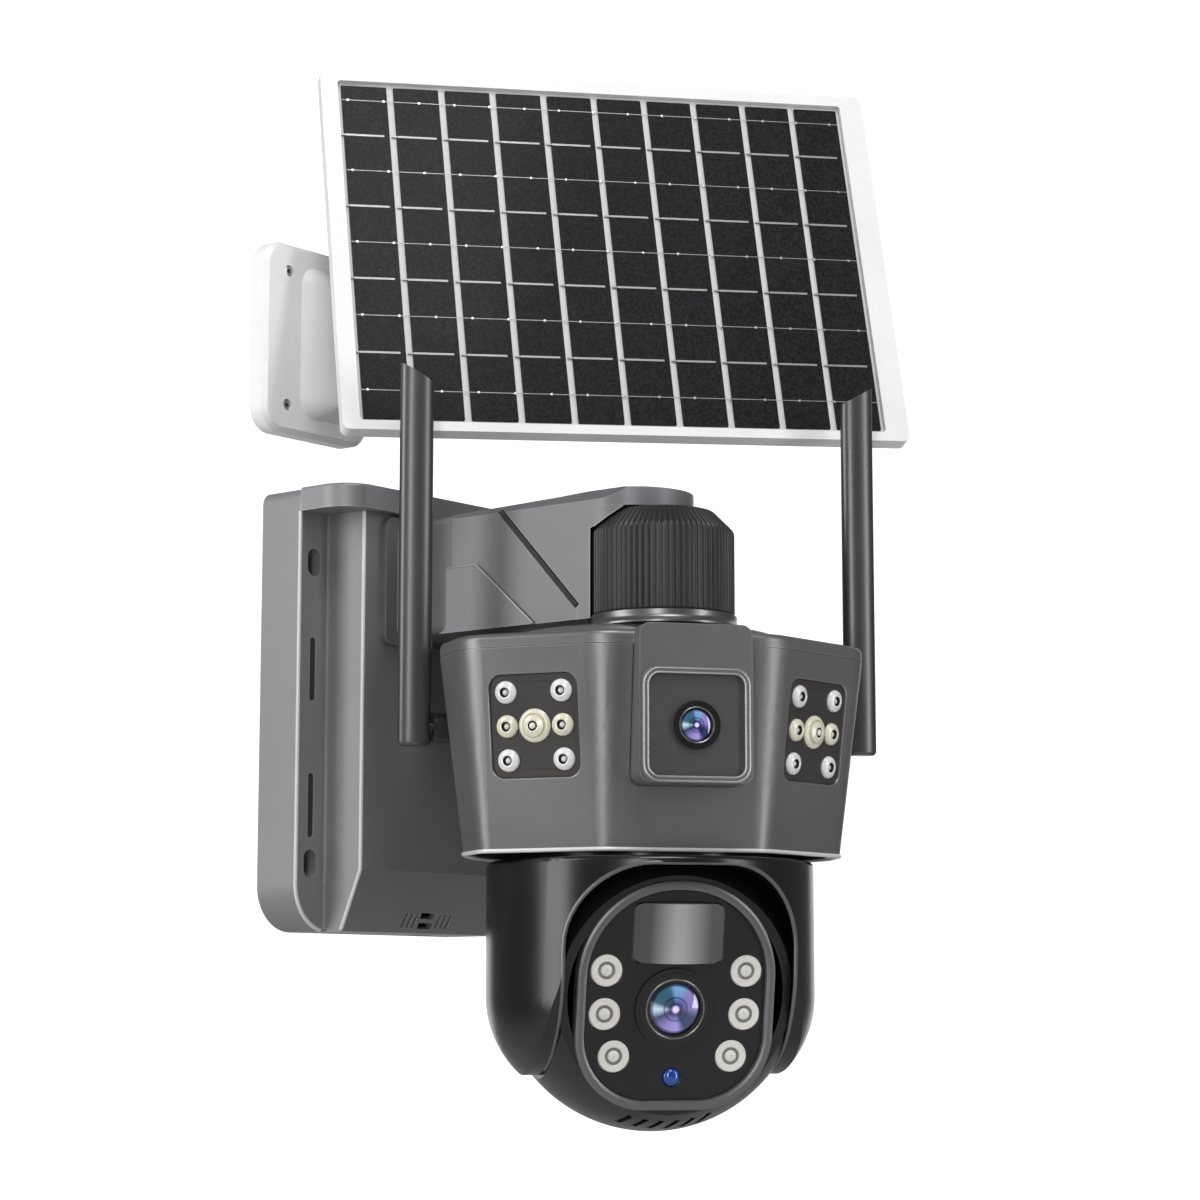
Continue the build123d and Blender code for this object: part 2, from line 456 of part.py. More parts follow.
pan_gear_z = floor_top + 0.6
pan_gear = gear(PAN_TEETH, GEAR_MODULE, 5.0, HUB_R, phase=math.pi / PAN_TEETH + math.radians(130))
keep("pan_gear", Pos(0, 0, pan_gear_z) * pan_gear, HEAD)
thrust = rod(20, (0, 0, YOKE_TOP_Z), FLOOR_Z - YOKE_TOP_Z - 0.2) - rod(HUB_R, (0, 0, YOKE_TOP_Z), 5)
keep("thrust_washer", thrust, HEAD)

ear_plates = []
for side in (-1, 1):
    plate = rod(EAR_CAVITY_R, (side * EAR_X, 0, BALL_Z), EAR_PLATE_T, (side, 0, 0))
    ear_plates.append(plate - rod(AXLE_R + 0.06, (side * EAR_X, 0, BALL_Z), EAR_PLATE_T, (side, 0, 0)))
keep("ear_plates", Compound(ear_plates), HEAD)

TILT_PINION_TEETH, TILT_MODULE = 10, 0.8
TILT_DISTANCE = (TILT_TEETH + TILT_PINION_TEETH) * TILT_MODULE / 2
gear_x = -EAR_X - EAR_PLATE_T - 0.4
tilt_motor = rod(6.5, (-EAR_CAVITY_X, 0, BALL_Z + TILT_DISTANCE), 3.6, (1, 0, 0))
tilt_motor -= rod(1.06, (-EAR_CAVITY_X, 0, BALL_Z + TILT_DISTANCE), 3.6, (1, 0, 0))
keep("tilt_motor", tilt_motor, HEAD)
FACE_X_NEG = Location(Plane(origin=(gear_x, 0, BALL_Z), x_dir=(0, 0, 1), z_dir=(-1, 0, 0)))
tilt_gear = gear(TILT_TEETH, TILT_MODULE, 3.0, AXLE_R)
keep("tilt_gear", FACE_X_NEG * tilt_gear, HEAD)
tilt_pinion = gear(TILT_PINION_TEETH, TILT_MODULE, 3.0, 0.5, phase=math.pi + math.pi / TILT_PINION_TEETH)
tilt_pinion += rod(1.0, (0, 0, 0), 6.0)
keep("tilt_pinion", FACE_X_NEG * Location((TILT_DISTANCE, 0, 0)) * tilt_pinion, HEAD)

# ---------------------------------------------------------------- tilt ball, facing -Y about its own centre
SHELL_T = 2.6
SPLIT_Y = 2.0
RING_DEPTH = 5.0


def face_slab(inset, y0, y1):
    """The face's outline, rounder above than below, as a plate from y0 forward to y1."""
    face = Plane(origin=(0, y0, 0), x_dir=(1, 0, 0), z_dir=(0, -1, 0))
    outline = Rectangle(FACE_W - 2 * inset, FACE_H - 2 * inset)
    outline = fillet(outline.vertices().sort_by(Axis.Y)[-2:], 36 - inset)
    outline = fillet(outline.vertices().sort_by(Axis.Y)[:2], 28 - inset)
    return extrude(face * outline, y0 - y1)


def ball_solid(radius, half_width):
    return Sphere(radius) & block(-half_width, half_width, -90, 90, -90, 90)


ball_shell = ball_solid(BALL_R, BALL_HALF_W) - ball_solid(BALL_R - SHELL_T, BALL_HALF_W - SHELL_T)
ball_shell -= block(-90, 90, -90, FACE_Y, -90, 90)
ball_shell -= face_slab(0, FACE_Y + RING_DEPTH, FACE_Y - 1)
ball_shell = ball_shell.solids().sort_by(SortBy.VOLUME)[-1]
front_half = ball_shell & block(-90, 90, -90, SPLIT_Y, -90, 90)
rear_half = ball_shell & block(-90, 90, SPLIT_Y, 90, -90, 90)
for count in range(6):
    front_half -= Pos(-15 + 6 * count, -29, -50) * Rot(0, 0, 20) * Box(2.2, 9, 24)
keep("ball_front_shell", front_half.solids().sort_by(SortBy.VOLUME)[-1], BALL)
keep("ball_rear_shell", rear_half, BALL)

ring = face_slab(0, FACE_Y + RING_DEPTH, FACE_Y - RING_OUT)
ring -= face_slab(RING_W, FACE_Y + RING_DEPTH, FACE_Y - RING_OUT)
keep("face_ring", ring, BALL)

ir_spots = [(side * x, z) for side in (-1, 1) for x, z in ((26.4, 9.0), (26.4, -7.0), (22.2, -22.6))]
face = face_slab(RING_W, FACE_Y + RING_DEPTH, FACE_Y + 0.6)
face -= slab(PIR_W, PIR_H, 3, FACE_Y + RING_DEPTH, FACE_Y, z=PIR_Z)
face -= rod(PTZ_R, (0, FACE_Y + RING_DEPTH, PTZ_Z), 10, (0, -1, 0))
for x, z in ir_spots:
    face -= rod(LED_R, (x, FACE_Y + RING_DEPTH, z), 10, (0, -1, 0))
face -= rod(SENSOR_R, (0, FACE_Y + RING_DEPTH, SENSOR_Z), 10, (0, -1, 0))
keep("face_window", face, BALL)
keep("pir_window", slab(PIR_W, PIR_H, 3, FACE_Y + RING_DEPTH, FACE_Y - 0.4, z=PIR_Z), BALL)
PTZ_GLASS_R = 9.8
ptz_barrel = rod(PTZ_R, (0, FACE_Y + 20, PTZ_Z), 20.2, (0, -1, 0))
ptz_barrel -= rod(PTZ_GLASS_R, (0, FACE_Y + 8, PTZ_Z), 10, (0, -1, 0))
keep("ptz_lens_barrel", ptz_barrel, BALL)
keep("ptz_lens_glass", rod(PTZ_GLASS_R, (0, FACE_Y + 8, PTZ_Z), 6.2, (0, -1, 0)), BALL)
cups = []
for x, z in ir_spots:
    cup = rod(LED_R, (x, FACE_Y + RING_DEPTH, z), 3.8, (0, -1, 0))
    cups.append(cup - rod(3.3, (x, FACE_Y + RING_DEPTH, z), 5, (0, -1, 0)))
keep("ir_reflectors", Compound(cups), BALL)
emitters = [rod(3.3, (x, FACE_Y + RING_DEPTH, z), 2.6, (0, -1, 0)) for x, z in ir_spots]
keep("ir_emitters", Compound(emitters), BALL)
keep("light_sensor", rod(SENSOR_R, (0, FACE_Y + RING_DEPTH, SENSOR_Z), 3.8, (0, -1, 0)), BALL)
keep("camera_board", block(-19, 19, FACE_Y + 20, FACE_Y + 21.6, PTZ_Z - 19, PTZ_Z + 19), BALL)

axles = [rod(AXLE_R, (side * BALL_HALF_W, 0, 0), EAR_X + 7 - BALL_HALF_W, (side, 0, 0)) for side in (-1, 1)]
keep("tilt_axles", Compound(axles), BALL)

# ---------------------------------------------------------------- solar panel, facing -Y about its centre
cell_w = PANEL_W - BORDER_L - BORDER_R
cell_h = PANEL_H - BORDER_T - BORDER_B
cell_x = (BORDER_L - BORDER_R) / 2
cell_z = (BORDER_B - BORDER_T) / 2
GLASS_T, CELL_T = 1.2, 0.8
half_d = PANEL_D / 2
frame = slab(PANEL_W, PANEL_H, 3.0, half_d, -half_d)
frame -= slab(cell_w, cell_h, 1.5, half_d, -half_d, x=cell_x, z=cell_z)
frame -= slab(PANEL_W - 4, PANEL_H - 4, 2.0, half_d, -half_d + 3.0)
keep("panel_frame", frame, PANEL)
glass_y = -half_d + 0.4
cell_y = glass_y + GLASS_T
keep("panel_glass", slab(cell_w, cell_h, 1.5, glass_y + GLASS_T, glass_y, x=cell_x, z=cell_z), PANEL)
strip_w = (cell_w - 3 - (CELLS - 1) * GAP) / CELLS
strips = []
for count in range(CELLS):
    x = cell_x - cell_w / 2 + 1.5 + strip_w / 2 + count * (strip_w + GAP)
    strips.append(slab(strip_w, cell_h - 3, 0.5, cell_y + CELL_T, cell_y, x=x, z=cell_z))
keep("solar_cells", Compound(strips), PANEL)
backplate = slab(PANEL_W - 4, PANEL_H - 4, 2.0, half_d - 0.6, half_d - 2.6)
keep("panel_back", backplate, PANEL)
JBOX = (50.0, -30.0)
keep("junction_box", slab(40, 30, 4, half_d + 9, half_d - 0.6, x=JBOX[0], z=JBOX[1]), PANEL)
HINGE_Y, HINGE_HALF = half_d + 14.0, 9.0
ears = slab(46, 46, 6, half_d + 2.4, half_d - 0.6)
for side in (-1, 1):
    ear = block(side * HINGE_HALF, side * (HINGE_HALF + 3), half_d, HINGE_Y, -8, 8)
    ear += rod(8, (side * HINGE_HALF, HINGE_Y, 0), 3, (side, 0, 0))
    ears += ear - rod(3.06, (side * HINGE_HALF, HINGE_Y, 0), 3, (side, 0, 0))
keep("panel_hinge", ears, PANEL)

# Swing link between the tilt hinge and the vertical swivel pin, and the wall bracket
PIN_R, EYE_R, STEM_R = 3.0, 8.0, 5.0
TILT_PIVOT = (PANEL * Location((0, HINGE_Y, 0))).position
YAWED = Location(tuple(TILT_PIVOT)) * PANEL_LEVEL
swivel = Vector(*SWIVEL_AT)
elbow = (YAWED * Location((0, 20, 0))).position
level = Vector(elbow.X - swivel.X, elbow.Y - swivel.Y, 0).normalized()
knee = swivel + level * 15


def stem(start, end):
    run = end - start
    return rod(STEM_R, tuple(start), run.length, tuple(run)) + Pos(end) * Sphere(STEM_R)


eye = rod(EYE_R, (-HINGE_HALF + 0.1, 0, 0), 2 * HINGE_HALF - 0.2, (1, 0, 0))
link = YAWED * eye + stem(TILT_PIVOT, elbow) + stem(elbow, knee) + stem(swivel, knee)
link -= YAWED * rod(PIN_R + 0.06, (-20, 0, 0), 40, (1, 0, 0))
BARREL_H = 11.6
link += rod(EYE_R, (swivel.X, swivel.Y, swivel.Z - BARREL_H / 2), BARREL_H)
link -= rod(PIN_R + 0.06, (swivel.X, swivel.Y, swivel.Z - 20), 40)
keep("swing_link", link)

bolt = rod(PIN_R, (-HINGE_HALF - 3, 0, 0), 2 * HINGE_HALF + 6, (1, 0, 0))
bolt += rod(6, (-HINGE_HALF - 6, 0, 0), 3, (1, 0, 0))
knob_end = rod(8, (HINGE_HALF + 3, 0, 0), 7, (1, 0, 0))
for turn in range(6):
    angle = math.radians(60 * turn)
    knob_end -= rod(2, (HINGE_HALF, 9 * math.cos(angle), 9 * math.sin(angle)), 12, (1, 0, 0))
keep("tilt_bolt", bolt + knob_end, YAWED)

LUG_H, LUG_ROOT_Y = 46.0, -20.0
bracket_h = BRACKET_Z1 - BRACKET_Z0
bracket_z = (BRACKET_Z0 + BRACKET_Z1) / 2
wall_plate = slab(BRACKET_W, bracket_h, 10, 0, -BRACKET_T, x=BRACKET_X, z=bracket_z)
wall_plate = chamfer(wall_plate.faces().sort_by(Axis.Y)[0].edges(), 2)
near = Plane(origin=(BRACKET_X + 5, -BRACKET_T, bracket_z), x_dir=(1, 0, 0), z_dir=(0, -1, 0))
far = Plane(origin=(swivel.X, LUG_ROOT_Y, bracket_z), x_dir=(1, 0, 0), z_dir=(0, -1, 0))
wall_plate += loft([near * RectangleRounded(30, 62, 8), far * RectangleRounded(16, LUG_H, 2)])
lug_z0, lug_z1 = bracket_z - LUG_H / 2, bracket_z + LUG_H / 2
lugs = block(swivel.X - EYE_R, swivel.X + EYE_R, LUG_ROOT_Y, swivel.Y, lug_z0, lug_z1)
lugs += rod(EYE_R, (swivel.X, swivel.Y, lug_z0), LUG_H)
lug_gap = rod(EYE_R + 2, (swivel.X, swivel.Y, bracket_z - BARREL_H / 2 - 0.2), BARREL_H + 0.4)
wall_plate = wall_plate + lugs - lug_gap
wall_plate -= rod(PIN_R, (swivel.X, swivel.Y, bracket_z - 30), 60)
for side in (-1, 1):
    for row in (-1, 1):
        at = (BRACKET_X + side * BRACKET_HOLE_X, 1, bracket_z + row * BRACKET_HOLE_Z)
        wall_plate -= rod(BRACKET_HOLE_R, at, 12, (0, -1, 0))
keep("wall_bracket", wall_plate)
swivel_pin = rod(PIN_R, (swivel.X, swivel.Y, lug_z0), LUG_H) + rod(5, (swivel.X, swivel.Y, lug_z1), 1.5)
keep("swivel_pin", swivel_pin)

for name, shape in nodes.items():
    solids = shape.solids()
    whole = solids[0] if len(solids) == 1 else Compound(children=list(solids))
    export_step(whole, f"parts/{name}.step")
print(len(nodes), "nodes")
print("head axis", HEAD.position, "neck", NECK.position, "tilt", BALL.position)
print("panel tilt pivot", TILT_PIVOT, "axis", (YAWED * Location((1, 0, 0))).position - TILT_PIVOT)
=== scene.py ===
import json
import math

import bmesh
import bpy
from mathutils import Matrix, Vector
from mathutils.geometry import convex_hull_2d


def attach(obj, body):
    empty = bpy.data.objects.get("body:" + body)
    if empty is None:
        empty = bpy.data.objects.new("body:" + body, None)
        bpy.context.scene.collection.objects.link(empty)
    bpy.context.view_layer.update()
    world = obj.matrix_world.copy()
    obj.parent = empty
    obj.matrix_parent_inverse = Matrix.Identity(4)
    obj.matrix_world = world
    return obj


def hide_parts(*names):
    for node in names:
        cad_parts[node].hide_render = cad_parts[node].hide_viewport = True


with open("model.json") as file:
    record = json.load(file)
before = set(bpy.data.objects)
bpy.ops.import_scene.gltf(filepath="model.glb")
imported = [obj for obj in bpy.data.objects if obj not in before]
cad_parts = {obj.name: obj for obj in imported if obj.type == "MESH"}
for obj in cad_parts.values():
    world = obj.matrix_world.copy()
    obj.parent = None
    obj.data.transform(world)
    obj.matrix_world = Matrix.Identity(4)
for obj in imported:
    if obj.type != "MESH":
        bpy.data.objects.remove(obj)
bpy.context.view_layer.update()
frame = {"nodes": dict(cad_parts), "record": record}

NODES = frame["nodes"]
MM = 0.001

# The same driving positions as the CAD, in millimetres
HEAD_YAW = math.radians(-37.0)
NECK_Y, NECK_FORWARD = -150.0, 20.0
BALL_Z, BALL_TILT = -100.5, math.radians(12.0)
PANEL_AT = (42.0, -92.2, 190.4)
PANEL_YAW, PANEL_TILT, PANEL_ROLL = math.radians(-36.5), math.radians(15.3), math.radians(1.6)


def turn(axis, angle):
    return Matrix.Rotation(angle, 4, axis)


def shift(x, y, z):
    """A move given in millimetres."""
    return Matrix.Translation(Vector((x, y, z)) * MM)


# Rigid frames: everything below is built facing -Y in one of them, then placed
PAN_XY = (-NECK_FORWARD * math.sin(HEAD_YAW), NECK_Y + NECK_FORWARD * math.cos(HEAD_YAW))
BOX_FRAME = Matrix.Identity(4)
NECK_FRAME = shift(0, NECK_Y, 0)
HEAD_FRAME = shift(*PAN_XY, 0) @ turn("Z", HEAD_YAW)
BALL_FRAME = HEAD_FRAME @ shift(0, 0, BALL_Z) @ turn("X", BALL_TILT)
PANEL_FRAME = shift(*PANEL_AT) @ turn("Z", PANEL_YAW) @ turn("Y", -PANEL_ROLL) @ turn("X", -PANEL_TILT)
UPWARD = turn("X", math.radians(-90))

# ---------------------------------------------------------------- camera, light and stage
CAMERA_AZIMUTH, CAMERA_LOOK_UP = math.radians(-51.0), math.radians(8.0471)
SENSOR_W, LENS = 36.0, 87.0
EYE_DISTANCE, EYE_Z, EYE_LEFT = 1084.753, -113.5, 23.7037
AHEAD = Vector((-math.sin(CAMERA_AZIMUTH), math.cos(CAMERA_AZIMUTH), 0))
RIGHT = Vector((math.cos(CAMERA_AZIMUTH), math.sin(CAMERA_AZIMUTH), 0))
UP = Vector((0, 0, 1))
MIDDLE = Vector((0, -0.12, 0.03))
FLOOR_Z, BACKDROP_AWAY = -0.55, 3.0


def add_camera():
    """Looks level along AHEAD and then up, from a spot a little to the left of the neck."""
    spot = Vector((0, NECK_Y, EYE_Z)) - AHEAD * EYE_DISTANCE - RIGHT * EYE_LEFT
    data = bpy.data.cameras.new("camera")
    data.sensor_width = SENSOR_W
    data.lens = LENS
    camera = bpy.data.objects.new("camera", data)
    bpy.context.scene.collection.objects.link(camera)
    look = AHEAD + UP * math.tan(CAMERA_LOOK_UP)
    camera.matrix_world = Matrix.Translation(spot * MM) @ look.to_track_quat("-Z", "Y").to_matrix().to_4x4()
    bpy.context.scene.camera = camera


def softbox(name, side_angle, distance, height, size, power):
    """A rectangular light aimed at the object, in metres and watts; side_angle is degrees to the right."""
    angle = math.radians(side_angle)
    place = MIDDLE + (RIGHT * math.sin(angle) - AHEAD * math.cos(angle)) * distance + UP * height
    data = bpy.data.lights.new(name, "AREA")
    data.shape = "RECTANGLE"
    data.size, data.size_y = size
    data.energy = power
    light = bpy.data.objects.new(name, data)
    bpy.context.scene.collection.objects.link(light)
    aim = (MIDDLE - place).to_track_quat("-Z", "Y").to_matrix().to_4x4()
    light.matrix_world = Matrix.Translation(place) @ aim


def new_material(name):
    material = bpy.data.materials.new(name)
    material.use_nodes = True
    tree = material.node_tree
    return material, tree.nodes, tree.links, tree.nodes["Principled BSDF"]


def stage_plane(name, centre, across, up, emission):
    """A plain pale plane of the room, in metres, given by its centre and two half sides."""
    material, _, _, shader = new_material(name)
    shader.inputs["Base Color"].default_value = (0.62, 0.62, 0.62, 1)
    shader.inputs["Roughness"].default_value = 0.9
    shader.inputs["Emission Color"].default_value = (1, 1, 1, 1)
    shader.inputs["Emission Strength"].default_value = emission
    mesh = bpy.data.meshes.new(name)
    corners = [centre + across * u + up * v for u, v in ((-1, -1), (1, -1), (1, 1), (-1, 1))]
    mesh.from_pydata(corners, [], [(0, 1, 2, 3)])
    mesh.materials.append(material)
    plane = bpy.data.objects.new(name, mesh)
    bpy.context.scene.collection.objects.link(plane)


def pale_room(fill, seen):
    """A white room that lights the object with strength fill and shows behind it with strength seen."""
    world = bpy.data.worlds.new("studio")
    bpy.context.scene.world = world
    world.use_nodes = True
    nodes, links = world.node_tree.nodes, world.node_tree.links
    light, sight = nodes["Background"], nodes.new("ShaderNodeBackground")
    for background, strength in ((light, fill), (sight, seen)):
        background.inputs["Color"].default_value = (1, 1, 1, 1)
        background.inputs["Strength"].default_value = strength
    switch = nodes.new("ShaderNodeMixShader")
    links.new(nodes.new("ShaderNodeLightPath").outputs["Is Camera Ray"], switch.inputs[0])
    links.new(light.outputs[0], switch.inputs[1])
    links.new(sight.outputs[0], switch.inputs[2])
    links.new(switch.outputs[0], nodes["World Output"].inputs["Surface"])


def light_the_stage():
    softbox("key", side_angle=-68, distance=1.25, height=0.30, size=(0.50, 1.4), power=12)
    softbox("front_strip", side_angle=-9, distance=1.75, height=0.10, size=(0.28, 1.7), power=13)
    softbox("right_strip", side_angle=62, distance=1.30, height=0.05, size=(0.28, 1.6), power=8.5)
    softbox("top", side_angle=12, distance=0.75, height=1.25, size=(0.6, 0.6), power=11)
    pale_room(fill=0.15, seen=1.0)
    stage_plane("floor", UP * FLOOR_Z, Vector((4, 0, 0)), Vector((0, 4, 0)), emission=0.0)
    stage_plane("backdrop", AHEAD * BACKDROP_AWAY + UP * 0.5, RIGHT * 1.9, UP * 1.4, emission=1.0)
    bpy.context.scene.view_settings.view_transform = "Standard"
    bpy.context.scene.view_settings.look = "None"


add_camera()
light_the_stage()


# ---------------------------------------------------------------- material building blocks
# Width of the lighter edges, which are rubbed wear and a painted highlight
EDGE_WEAR_AND_HIGHLIGHT_WIDTH = 0.9


def coordinates(nodes, links, place=None):
    """Object coordinates, or the same point in another rigid frame."""
    coords = nodes.new("ShaderNodeTexCoord").outputs["Object"]
    if place is None:
        return coords
    inverse = place.inverted()
    mapping = nodes.new("ShaderNodeMapping")
    mapping.inputs["Location"].default_value = inverse.to_translation()
    mapping.inputs["Rotation"].default_value = inverse.to_euler("XYZ")
    links.new(coords, mapping.inputs["Vector"])
    return mapping.outputs["Vector"]


def noise(nodes, links, vector, scale, detail):
    texture = nodes.new("ShaderNodeTexNoise")
    texture.inputs["Scale"].default_value = scale
    texture.inputs["Detail"].default_value = detail
    links.new(vector, texture.inputs["Vector"])
    return texture.outputs["Fac"]


def spread(nodes, links, value, low, high, start=0.3, end=0.7):
    """Maps start..end of a value to low..high."""
    ranged = nodes.new("ShaderNodeMapRange")
    ranged.inputs["From Min"].default_value = start
    ranged.inputs["From Max"].default_value = end
    ranged.inputs["To Min"].default_value = low
    ranged.inputs["To Max"].default_value = high
    links.new(value, ranged.inputs["Value"])
    return ranged.outputs["Result"]


def mix(nodes, links, factor, one, two):
    """A colour between one and two; each is an RGB tuple or another node's output."""
    node = nodes.new("ShaderNodeMix")
    node.data_type = "RGBA"
    links.new(factor, node.inputs["Factor"])
    for socket, colour in ((node.inputs[6], one), (node.inputs[7], two)):
        if isinstance(colour, tuple):
            socket.default_value = (*colour, 1)
        else:
            links.new(colour, socket)
    return node.outputs[2]


def scaled(colour, by, add=0.0):
    return tuple(min(1.0, c * by + add) for c in colour)


def bumped(nodes, links, height, shader, strength):
    bump = nodes.new("ShaderNodeBump")
    bump.inputs["Strength"].default_value = strength
    bump.inputs["Distance"].default_value = 0.1 * MM
    links.new(height, bump.inputs["Height"])
    links.new(bump.outputs["Normal"], shader.inputs["Normal"])


def edge_mask(nodes, links, radius):
    """1 on a sharp outer or inner edge and 0 on flat faces."""
    bevel = nodes.new("ShaderNodeBevel")
    bevel.samples = 4
    bevel.inputs["Radius"].default_value = radius
    geometry = nodes.new("ShaderNodeNewGeometry")
    same = nodes.new("ShaderNodeVectorMath")
    same.operation = "DOT_PRODUCT"
    links.new(bevel.outputs["Normal"], same.inputs[0])
    links.new(geometry.outputs["Normal"], same.inputs[1])
    return spread(nodes, links, same.outputs["Value"], 1.0, 0.0, 0.86, 0.995)


def plastic(name, colour, rough, grain=1700.0, depth=0.1, vary=0.04, coat=0.0, edge_wear_and_highlight=0.0, flake=0.0):
    """Moulded plastic with a fine grain, slow changes of tone and gloss, and edges painted lighter, partly
    as rubbed wear and partly as a painted highlight.

    depth is the strength of the grain, edge_wear_and_highlight that of the lighter edges (rubbed wear and
    painted highlight), and flake the metal in the paint.
    """
    material, nodes, links, shader = new_material(name)
    shader.inputs["IOR"].default_value = 1.47
    shader.inputs["Metallic"].default_value = flake
    shader.inputs["Coat Weight"].default_value = coat
    shader.inputs["Coat Roughness"].default_value = 0.05
    vector = coordinates(nodes, links)
    slow = noise(nodes, links, vector, 26.0, 4.0)
    fine = noise(nodes, links, vector, grain, 2.0)
    links.new(spread(nodes, links, slow, rough - vary, rough + vary), shader.inputs["Roughness"])
    tone = mix(nodes, links, spread(nodes, links, slow, 0, 1), scaled(colour, 0.93), scaled(colour, 1.05))
    speckle = mix(nodes, links, spread(nodes, links, fine, 0, 0.5), tone, scaled(colour, 1.18))
    # Sharp outer and inner edges painted lighter: partly rubbed wear, partly a painted edge highlight.
    if edge_wear_and_highlight:
        rubbed_and_highlit = nodes.new("ShaderNodeMath")
        rubbed_and_highlit.operation = "MULTIPLY"
        links.new(edge_mask(nodes, links, EDGE_WEAR_AND_HIGHLIGHT_WIDTH * MM), rubbed_and_highlit.inputs[0])
        links.new(spread(nodes, links, slow, edge_wear_and_highlight * 0.5, edge_wear_and_highlight), rubbed_and_highlit.inputs[1])
        speckle = mix(nodes, links, rubbed_and_highlit.outputs["Value"], speckle, scaled(colour, 2.2, 0.04))
    links.new(speckle, shader.inputs["Base Color"])
    bumped(nodes, links, fine, shader, depth)
    return material


def metal(name, colour, rough):
    """Metal with a fine satin mottle in its tone, gloss and surface."""
    material, nodes, links, shader = new_material(name)
    shader.inputs["Metallic"].default_value = 1.0
    mottle = noise(nodes, links, coordinates(nodes, links), 900.0, 2.0)
    tone = mix(nodes, links, spread(nodes, links, mottle, 0, 1), scaled(colour, 0.86), colour)
    links.new(tone, shader.inputs["Base Color"])
    links.new(spread(nodes, links, mottle, rough * 0.8, rough * 1.25), shader.inputs["Roughness"])
    bumped(nodes, links, mottle, shader, 0.08)
    return material


def clear_cover(name, colour, alpha, rough):
    """A thin clear sheet: mostly see-through, with a faint haze in its gloss."""
    material, nodes, links, shader = new_material(name)
    shader.inputs["Base Color"].default_value = (*colour, 1)
    shader.inputs["Alpha"].default_value = alpha
    shader.inputs["IOR"].default_value = 1.35
    haze = noise(nodes, links, coordinates(nodes, links), 60.0, 5.0)
    links.new(spread(nodes, links, haze, rough * 0.7, rough * 1.5), shader.inputs["Roughness"])
    return material


def silicon(name, colour, finger_pitch):
    """Dark cells with fine printed fingers along the panel's height and a faint crystal mottle."""
    material, nodes, links, shader = new_material(name)
    vector = coordinates(nodes, links, PANEL_FRAME)
    wave = nodes.new("ShaderNodeTexWave")
    wave.bands_direction = "X"
    wave.inputs["Scale"].default_value = 1 / (finger_pitch * MM) / math.pi
    links.new(vector, wave.inputs["Vector"])
    mottle = noise(nodes, links, vector, 900.0, 3.0)
    crystals = spread(nodes, links, mottle, 0, 1, 0.35, 0.65)
    base = mix(nodes, links, crystals, scaled(colour, 0.3), scaled(colour, 3.2))
    fingers = spread(nodes, links, wave.outputs["Fac"], 0.0, 0.5, 0.85, 1.0)
    links.new(mix(nodes, links, fingers, base, scaled(colour, 3.0)), shader.inputs["Base Color"])
    links.new(spread(nodes, links, mottle, 0.42, 0.56), shader.inputs["Roughness"])
    shader.inputs["Specular IOR Level"].default_value = 0.12
    bumped(nodes, links, wave.outputs["Fac"], shader, 0.05)
    return material


def pir_film(name, width):
    """Metallised sensor film with a painted highlight: paler down the middle of its bow and dark at the
    sides, with fine upright lens ribs.
    """
    material, nodes, links, shader = new_material(name)
    vector = coordinates(nodes, links, BALL_FRAME)
    parts = nodes.new("ShaderNodeSeparateXYZ")
    links.new(vector, parts.inputs["Vector"])
    half = width / 2 * MM
    across = spread(nodes, links, parts.outputs["X"], 0.0, 1.0, -half, half)
    # Painted highlight: the base colour is pale down the middle and dark at both sides.
    highlight_bow = ramp(nodes, links, across, [
        (0.0, (0.035, 0.035, 0.036)), (0.18, (0.06, 0.06, 0.061)), (0.45, (0.36, 0.36, 0.362)),
        (0.55, (0.34, 0.34, 0.342)), (0.85, (0.04, 0.04, 0.041)), (1.0, (0.022, 0.022, 0.023)),
    ])
    links.new(highlight_bow, shader.inputs["Base Color"])
    shader.inputs["Metallic"].default_value = 0.2
    ribs = nodes.new("ShaderNodeTexWave")
    ribs.inputs["Scale"].default_value = 400.0
    links.new(vector, ribs.inputs["Vector"])
    links.new(spread(nodes, links, ribs.outputs["Fac"], 0.34, 0.42, 0.0, 1.0), shader.inputs["Roughness"])
    bumped(nodes, links, ribs.outputs["Fac"], shader, 0.02)
    return material


def ramp(nodes, links, value, stops):
    node = nodes.new("ShaderNodeValToRGB")
    elements = node.color_ramp.elements
    while len(elements) < len(stops):
        elements.new(0.5)
    for element, (position, colour) in zip(elements, stops):
        element.position = position
        element.color = (*colour, 1)
    links.new(value, node.inputs["Fac"])
    return node.outputs["Color"]


